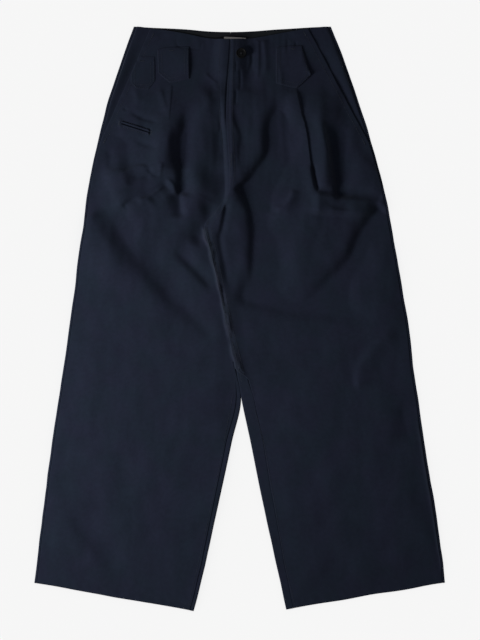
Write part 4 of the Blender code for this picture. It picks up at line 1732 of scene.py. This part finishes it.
@dataclass
class BeltTab:
    """A pointed tab sewn down at its upper and lower edges and arched between them.

    A section is an x with the y of the tab's upper and lower edge there. A roll is how far in an edge's
    roundness reaches and the share of the cloth that it comes down.
    """

    name: str
    sections: tuple[tuple[float, float, float], ...]
    panel: FrontPanel
    flat: tuple[float, float]
    area: float
    arch: float = 3.6
    lift: float = 0.08
    cloth: float = 1.3
    skew: float = 1.5
    top_roll: Point = (6.0, 0.88)
    side_roll: Point = (1.6, 0.75)
    count: int = 44
    arch_power: float = 0.8
    lift_share: float = 0.25
    low_margin: float = 1.15

    def point(self, across: Array, drop: Array) -> tuple[Array, Array]:
        """The plan point at a share across the tab and a share down it.

        Args:
            across: Shares across the tab.
            drop: Shares down it.

        Returns:
            The points' x and y.
        """
        table = np.array(self.sections)
        x = table[0, 0] + across * (table[-1, 0] - table[0, 0])
        top = np.interp(x, table[:, 0], table[:, 1])
        bottom = np.interp(x, table[:, 0], table[:, 2])
        return x, top + drop * (bottom - top)

    def shares(self, x: Array, y: Array) -> tuple[Array, Array]:
        """The shares across and down the tab at plan points.

        Args:
            x: The points' x.
            y: The points' y.

        Returns:
            The two shares.
        """
        table = np.array(self.sections)
        top = np.interp(x, table[:, 0], table[:, 1])
        bottom = np.interp(x, table[:, 0], table[:, 2])
        return (x - table[0, 0]) / (table[-1, 0] - table[0, 0]), (top - y) / (top - bottom)

    def underside(self, across: Array, drop: Array) -> Array:
        """Height of the tab's underside.

        Args:
            across: Shares across the tab.
            drop: Shares down it.

        Returns:
            Heights in millimetres.
        """
        x, y = self.point(across, drop)
        seat = self.panel.surface(x, y)
        arch = self.arch * np.sin(pi * np.clip(drop, 0, 1)) ** self.arch_power
        return seat + self.lift * smooth(across / self.lift_share) + arch * smooth(across) ** self.skew

    def surface(self, x: Array, y: Array) -> Array:
        """Height of the tab's upper face."""
        return self.underside(*self.shares(x, y)) + self.cloth

    def border(self, margin: float) -> tuple[Point, ...]:
        """A line round three sides of the tab, at a margin inside its outline.

        Args:
            margin: How far inside it lies.

        Returns:
            The line's points.
        """
        table = np.array(self.sections)
        left, right = table[0, 0] + margin, table[-1, 0] - margin
        x = np.array([left, *[v for v in table[1:-1, 0] if left < v < right], right])
        low = np.interp(x, table[:, 0], table[:, 2]) + margin * self.low_margin
        top = np.interp(x[[0, -1]], table[:, 0], table[:, 1]) - margin
        return ((x[0], top[0]), *zip(x, low), (x[-1], top[1]))

    def build(self, material: Material) -> Object:
        """Makes the tab.

        Args:
            material: The twill.

        Returns:
            The tab's object.
        """
        table = np.array(self.sections)
        width = table[-1, 0] - table[0, 0]
        height = float(np.max(table[:, 1] - table[:, 2]))
        corners = (table[:, 0] - table[0, 0]) / width
        across = np.unique(np.concatenate([spacing(self.count, width), corners]))
        drop = spacing(self.count, height)
        u, v = np.meshgrid(across, drop)
        x, y = self.point(u, v)
        under = self.underside(u, v)
        inset = np.minimum(np.minimum(u, 1 - u) * width, (1 - v) * height)
        top = rolled(v * height, self.top_roll[0], self.cloth * self.top_roll[1])
        side = rolled(inset, self.side_roll[0], self.cloth * self.side_roll[1])
        upper = under + self.cloth - np.maximum(top, side)
        piece = Wall.between(f"{self.name}_cloth", x, y, under, upper).build(material)
        finished(piece, "twill", self.name)
        f"front_{self.panel.side.value}_cloth"
        return piece


@dataclass
class CoinPocket:
    """The small jetted pocket on the left hip: two welts beside a slit."""

    panel: FrontPanel
    centre: Point = (-183.0, 334.0)
    length: float = 52.0
    welt: float = 2.8
    slit: float = 2.2
    tilt: float = -0.31
    cloth: float = 1.9
    ease: float = 0.45
    roll: Point = (0.9, 0.8)
    row_count: int = 12
    column_count: int = 60

    def place(self, along: Array, across: Array) -> tuple[Array, Array]:
        """Plan points at distances along the slit and across it.

        Args:
            along: Distances along the slit.
            across: Distances across it.

        Returns:
            The points' x and y.
        """
        x = self.centre[0] + along * cos(self.tilt) - across * sin(self.tilt)
        y = self.centre[1] + along * sin(self.tilt) + across * cos(self.tilt)
        return x, y

    def outline(self, margin: float) -> tuple[Point, ...]:
        """The rectangle around both welts, at a margin.

        Args:
            margin: How far outside it lies.

        Returns:
            The rectangle's points, closed.
        """
        half, wide = self.length / 2 + margin, self.slit / 2 + self.welt + margin
        corners = ((-half, -wide), (half, -wide), (half, wide), (-half, wide), (-half, -wide))
        places = (self.place(np.float64(a), np.float64(b)) for a, b in corners)
        return tuple((float(x), float(y)) for x, y in places)

    def build(self, material: Material) -> list[Object]:
        """Makes both welts.

        Args:
            material: The twill.

        Returns:
            The welts' objects.
        """
        pieces = []
        along = (spacing(self.column_count, self.length) - 0.5) * self.length
        across = spacing(self.row_count, self.welt) * self.welt
        for name, way in (("coin_welt_upper", 1.0), ("coin_welt_lower", -1.0)):
            u, v = np.meshgrid(along, across)
            x, y = self.place(u, way * (self.slit / 2 + v))
            under = self.panel.surface(x, y) + self.ease
            edge = np.minimum(np.minimum(v, self.welt - v), self.length / 2 - np.abs(u))
            upper = under + self.cloth - rolled(edge, *self.roll)
            wall = Wall.between(f"{name}_cloth", x, y, under, upper, np.stack([u, v], axis=-1))
            piece = wall.build(material)
            finished(piece, "twill", name)
            pieces.append(piece)
        return pieces


@dataclass
class Label:
    """A blank strip of woven tape, sewn inside the back waist."""

    left_x: float = -27.0
    right_x: float = 11.0
    top_y: float = 493.6
    tilt: float = -0.055
    bottom_y: float = 480.0
    base: float = FRONT_REST + FACING_CLOTH + GAP
    bow: float = 0.25
    pivot: float = 0.3
    ripple: float = 0.12
    ripple_pitch: float = 3.1
    roll: Point = (0.5, 0.2)
    row_count: int = 24
    column_count: int = 50

    def build(self, material: Material) -> Object:
        """Makes the label.

        Args:
            material: The tape.

        Returns:
            The label's object.
        """
        width, height = self.right_x - self.left_x, self.top_y - self.bottom_y
        along, drop = spacing(self.column_count, width) * width, spacing(self.row_count, height) * height
        u, v = np.meshgrid(along, drop)
        x = self.left_x + u
        y = self.top_y - v + self.bow * np.sin(pi * u / width) + self.tilt * (u - self.pivot * width)
        under = self.base + self.ripple * np.sin(u / self.ripple_pitch) * np.sin(pi * v / height)
        edge = np.minimum(np.minimum(u, width - u), np.minimum(v, height - v))
        upper = under + LABEL_CLOTH - rolled(edge, *self.roll)
        piece = Wall.between("label_tape", x, y, under, upper).build(material)
        finished(piece, "label", "label")
        return piece


@dataclass
class Button:
    """The four-hole waist button and the thread that crosses it."""

    panel: FrontPanel
    centre: Point = (3.0, 464.0)
    radius: float = 9.0
    height: float = 3.4
    rim: float = 1.6
    dish: float = 0.9
    hole: float = 0.95
    spread: float = 2.1
    diagonal: float = 1.4142
    turns: int = 64
    hole_turns: int = 20
    seat_share: float = 0.7
    seat_gap: float = 0.1
    thread: float = 0.3
    thread_shift: float = 0.28
    thread_sink: float = 1.0
    thread_rise: float = 1.35
    thread_cross: float = 0.2
    thread_points: int = 11
    sharp: float = 40.0

    def seat(self) -> float:
        """Height of the cloth under the button, which presses into its highest folds.

        Returns:
            The height in millimetres.
        """
        angle = np.linspace(0, 2 * pi, 24)
        x = self.centre[0] + self.seat_share * self.radius * np.cos(angle)
        y = self.centre[1] + self.seat_share * self.radius * np.sin(angle)
        return float(np.median(self.panel.surface(x, y))) + self.seat_gap

    def profile(self) -> list[Point]:
        """The turned outline, from the centre of the back to the centre of the dish.

        Returns:
            Pairs of a radius and a height.
        """
        top, r = self.height, self.radius
        bowl = r - self.rim
        back = [(0.0, 0.0), (r * 0.62, 0.0), (r * 0.9, 0.55)]
        side = [(r * 0.985, 1.1), (r, 1.7), (r * 0.985, 2.3), (r * 0.95, 2.9)]
        rim = [(r * 0.91, top - 0.12), (r * 0.87, top), (bowl + 0.25, top - 0.06), (bowl, top - 0.25)]
        dish = [(bowl - 0.45, top - 0.62), (bowl - 1.1, top - 0.82), (bowl - 2.2, top - self.dish)]
        return [*back, *side, *rim, *dish, (0.0, top - self.dish)]

    def disc(self) -> Object:
        """The turned button with its holes cut through.

        Returns:
            The disc, still in millimetres and without a finish.
        """
        shape = bmesh.new()
        corners = [shape.verts.new((r, 0.0, z)) for r, z in self.profile()]
        edges = [shape.edges.new(pair) for pair in zip(corners, corners[1:])]
        whole = {"cent": (0, 0, 0), "axis": (0, 0, 1), "angle": 2 * pi, "use_merge": True}
        bmesh.ops.spin(shape, geom=[*corners, *edges], steps=self.turns, **whole)
        bmesh.ops.remove_doubles(shape, verts=shape.verts, dist=1e-4)
        bmesh.ops.recalc_face_normals(shape, faces=shape.faces)
        drill = bmesh.new()
        for way in range(4):
            angle = pi / 4 + way * pi / 2
            place = Vector((cos(angle), sin(angle), 0.0)) * self.spread * self.diagonal
            size = {"radius1": self.hole, "radius2": self.hole, "depth": 3 * self.height}
            found = bmesh.ops.create_cone(drill, cap_ends=True, segments=self.hole_turns, **size)
            bmesh.ops.translate(drill, verts=found["verts"], vec=place)
        body = added("button_body", mesh_of("button_turned", shape))
        cutter = added("button_cutter", mesh_of("button_holes", drill))
        cut = body.modifiers.new("holes", "BOOLEAN")
        cut.operation = "DIFFERENCE"
        cut.object = cutter
        made = bpy.data.meshes.new_from_object(body.evaluated_get(bpy.context.evaluated_depsgraph_get()))
        for item in (body, cutter):
            bpy.data.objects.remove(item)
        return added("button_disc", made)

    def build(self, material: Material, thread: Material) -> list[Object]:
        """Makes the button and its thread.

        Args:
            material: The button's resin.
            thread: The thread's finish.

        Returns:
            The button and the thread.
        """
        seat = self.seat()
        disc = self.disc()
        for vertex in disc.data.vertices:
            vertex.co = (vertex.co + Vector((*self.centre, seat))) * MM
        disc.data.materials.clear()
        disc.data.materials.append(material)
        disc.data.shade_smooth()
        disc.data.set_sharp_from_angle(angle=radians(self.sharp))
        finished(disc, "button", "button")
        floor = seat + self.height - self.dish
        share = np.linspace(0.0, 1.0, self.thread_points)[:, None]
        rise = self.thread_rise * np.minimum(1.0, 5.0 * np.minimum(share, 1 - share))
        lift = floor - self.thread_sink + rise
        routes = []
        for first, second in (((1, 1), (-1, -1)), ((-1, 1), (1, -1))):
            start, end = np.array(first) * self.spread, np.array(second) * self.spread
            beside = np.array([1.0, -first[0] * first[1]])
            for shift in (-self.thread_shift, self.thread_shift):
                plan = self.centre + start * (1 - share) + end * share + shift * beside
                routes.append(np.hstack([plan, lift + self.thread_cross * (len(routes) > 1)]))
        cross = strand_piece("button_thread", np.array(routes), np.full(len(share), self.thread), thread)
        return [disc, finished(cross, "twill")]


@dataclass
class Studio:
    """A pale floor, a soft key light from the left and a camera straight above."""

    centre: Point = (0.875, -1.75)
    frame_height: float = 1120.0
    lens: float = 85.0
    sensor: float = 36.0
    key_power: float = 9.1
    key_place: tuple[float, float, float] = (-1.33, -0.22, 0.75)
    key_aim: tuple[float, float, float] = (-0.06, -0.02, 0.0)
    key_size: Point = (0.36, 0.70)
    key_beam: float = 112.0
    key_colour: Colour = (0.98, 1.0, 1.02)
    fill: float = 0.17
    paper: float = 0.9
    backdrop: float = 0.923
    floor_half: float = 20.0
    floor_drop: float = 0.0004
    clip_end: float = 100.0

    def floor(self) -> Object:
        """A plain pale floor.

        Returns:
            The floor.
        """
        shape = bmesh.new()
        bmesh.ops.create_grid(shape, x_segments=8, y_segments=8, size=self.floor_half)
        mesh = mesh_of("floor", shape)
        material = bpy.data.materials.new("floor_paper")
        material.use_nodes = True
        values = {
            "Base Color": (*[self.paper] * 3, 1.0),
            "Roughness": 1.0,
            "Specular IOR Level": 0.0,
            "Emission Color": (1.0, 1.0, 1.0, 1.0),
            "Emission Strength": self.backdrop - self.paper * self.fill,
        }
        Wiring(material.node_tree).join(material.node_tree.nodes["Principled BSDF"].inputs, values)
        material.cycles.emission_sampling = "NONE"
        mesh.materials.append(material)
        floor = added("floor", mesh)
        floor.location.z = -self.floor_drop
        return floor

    def world(self) -> None:
        """Even pale light all round, which shows as the floor's own white."""
        world = bpy.data.worlds.new("studio")
        world.use_nodes = True
        nodes = world.node_tree.nodes
        wire = Wiring(world.node_tree)
        light = nodes["Background"]
        wire.join(light.inputs, {"Color": (1.0, 1.0, 1.0, 1.0), "Strength": self.fill})
        seen = wire.node("Background", {"Color": (*[self.backdrop] * 3, 1.0)})
        ray = wire.node("LightPath").outputs["Is Camera Ray"]
        mix = wire.node("MixShader", {0: ray, 1: light.outputs[0], 2: seen.outputs[0]})
        wire.put(nodes["World Output"].inputs["Surface"], mix.outputs[0])
        bpy.context.scene.world = world

    def key(self, pieces: list[Object]) -> Object:
        """The soft light from the left, which falls on the garment only.

        Args:
            pieces: What the light falls on.

        Returns:
            The light.
        """
        data = bpy.data.lights.new("key", "AREA")
        data.shape = "RECTANGLE"
        data.size = self.key_size[0]
        data.size_y = self.key_size[1]
        data.energy = self.key_power
        data.color = self.key_colour
        data.spread = radians(self.key_beam)
        light = added("key", data)
        light.location = self.key_place
        aim = Vector(self.key_aim) - light.location
        light.rotation_euler = aim.to_track_quat("-Z", "Y").to_euler()
        lit = bpy.data.collections.new("lit_by_key")
        for piece in pieces:
            lit.objects.link(piece)
        light.light_linking.receiver_collection = lit
        return light

    def camera(self) -> Object:
        """The camera over the garment, as the photograph shows it.

        Returns:
            The camera.
        """
        data = bpy.data.cameras.new("camera")
        data.lens = self.lens
        data.sensor_width = self.sensor
        data.clip_end = self.clip_end
        camera = added("camera", data)
        height = self.frame_height * self.lens / self.sensor
        camera.location = Vector((self.centre[0], self.centre[1], height + 5.0)) * MM
        camera.rotation_euler = (0.0, 0.0, 0.0)
        bpy.context.scene.camera = camera
        return camera


def left_front_rows(pocket: CoinPocket) -> tuple[Seam | BarTack, ...]:
    """The stitching on the left front: pocket edge, fly shield, inner leg and coin pocket.

    Args:
        pocket: The coin pocket.

    Returns:
        The rows of stitches.
    """
    return (
        Seam(((-151, 499), (-238, 305))),
        Seam(((-34, 484), (-36, 420), (-35, 368), (-31, 320), (-23, 262))),
        Seam(((-11, -130), (-27, -215), (-42, -290), (-59, -366), (-74, -436), (-91, -508))),
        Seam(pocket.outline(1.3), curved=False),
        BarTack((-151, 497), angle=66),
        BarTack((-236, 311), angle=66),
        BarTack(pocket.place(-29.5, 0.0), 7.5, angle=70.5),
        BarTack(pocket.place(29.5, 0.0), 7.5, angle=70.5),
    )


def right_front_rows() -> tuple[Seam | BarTack, ...]:
    """The stitching on the right front: pocket edge, fly, crotch and inner leg.

    Returns:
        The rows of stitches.
    """
    return (
        Seam(((114, 500), (221, 303))),
        Seam(((-15, 484), (-19, 430), (-20, 380), (-18, 320), (-15, 232))),
        Seam(((-10, 470), (-12, 420), (-12, 380), (-11, 320), (-8, 262), (-12, 232))),
        Seam(((-36, 192), (-57, 163), (-47, 116), (-34, 55), (-20, -10), (-4, -74), (4, -112))),
        Seam(((-18, 214), (-32, 187), (-49, 158), (-40, 116), (-27, 55), (-13, -10), (2, -70), (9, -100))),
        Seam(((27, -160), (42, -215), (56, -290), (69, -366), (82, -436), (96, -500))),
        BarTack((-14, 278), 22.0, 1.6, 88),
        BarTack((114, 499), angle=-61),
        BarTack((219, 307), angle=-61),
    )


def tab_rows(tab: BeltTab) -> tuple[Seam | BarTack, ...]:
    """The stitching on a tab: two rows inside its edges, and a bar tack at its top.

    Args:
        tab: The tab.

    Returns:
        The rows of stitches.
    """
    table = np.array(tab.sections)
    top = (float(table[:, 0].mean()), float(table[1:-1, 1].mean()) - 6.0)
    return (
        Seam(tab.border(2.2), curved=False),
        Seam(tab.border(7.5), curved=False),
        BarTack(top, 8.0, angle=0),
    )


def main() -> None:
    """Builds every piece in order, then the studio."""
    logging.basicConfig(level=logging.INFO, format="%(message)s")
    groups = {"twill": twill_group(), "mottle": mottle_group()}
    twill = TwillFinish("navy_twill", (0.0126, 0.0172, 0.0330)).material(groups)
    inner = TwillFinish("navy_inside_painted_shade", (0.0115, 0.0135, 0.0165)).material(groups)
    relief = FrontRelief()
    edge = (1.0, 16.0, 2.0)
    left_closer = ((0.52, 14.0, 1.5), (0.66, 10.0, 1.0), edge)
    right_closer = ((0.44, 7.0, 2.5), (0.33, 14.0, 1.0), edge)
    left = FrontPanel(LEFT_PLAN, relief, (0.30, 1.03), 0.2525, left_closer)
    right = FrontPanel(RIGHT_PLAN, relief, (0.33, 1.03), 0.2700, right_closer)
    pieces = [
        left.build(twill),
        right.build(twill),
        BackPanel(LEFT_PLAN, relief, (0.32, 1.03), 0.262, fold_height=7.0, lap_rise=0.3).build(twill),
        BackPanel(RIGHT_PLAN, relief, (0.32, 1.03), 0.275).build(twill),
        HipFacing(LEFT_PLAN, (0.036, 0.218), 0.0053, 6.0, 0.12).build(twill),
        HipFacing(RIGHT_PLAN, (0.036, 0.218), 0.0062, 3.4, 0.15).build(twill),
        WaistFacing().build(inner),
    ]
    belt_left = BeltTab(
        "belt_tab_left",
        ((-143, 473, 431), (-133, 475, 422), (-122, 476, 413), (-105, 476, 416), (-88, 476, 420)),
        left,
        (0.055, 0.066),
        0.0031,
    )
    belt_right = BeltTab(
        "belt_tab_right",
        (
            (64, 475, 412),
            (76, 477, 409),
            (88, 478, 406),
            (101, 479, 404),
            (108, 479, 410),
            (124, 431, 426),
        ),
        right,
        (0.060, 0.078),
        0.0036,
    )
    side_left = BeltTab(
        "side_tab_left",
        ((-191, 424, 413), (-181, 452, 402), (-172, 461, 401), (-160, 461, 401), (-148, 460, 417)),
        left,
        (0.043, 0.063),
        0.0021,
        arch=0.2,
        lift=0.0,
        cloth=0.8,
    )
    tabs = (belt_left, belt_right, side_left)
    pieces += [tab.build(twill) for tab in tabs]
    pocket = CoinPocket(left)
    pieces += pocket.build(twill)
    pieces.append(Label().build(TapeFinish().material(groups)))
    thread = ThreadFinish().material(groups)
    dark = ThreadFinish("dark_thread", (0.013, 0.015, 0.021), (0.006, 0.007, 0.011)).material(groups)
    pieces += Button(right).build(ButtonFinish().material(groups), dark)
    pieces.append(Stitching("left_front_stitches", left.surface, left_front_rows(pocket)).build(thread))
    pieces.append(Stitching("right_front_stitches", right.surface, right_front_rows()).build(thread))
    for tab in tabs:
        pieces.append(Stitching(f"{tab.name}_stitches", tab.surface, tab_rows(tab)).build(thread))
    studio = Studio()
    studio.floor()
    studio.world()
    studio.key(pieces)
    studio.camera()
    bpy.context.scene.view_settings.view_transform = "Standard"
    bpy.context.view_layer.update()


if __name__ == "__main__":
    main()
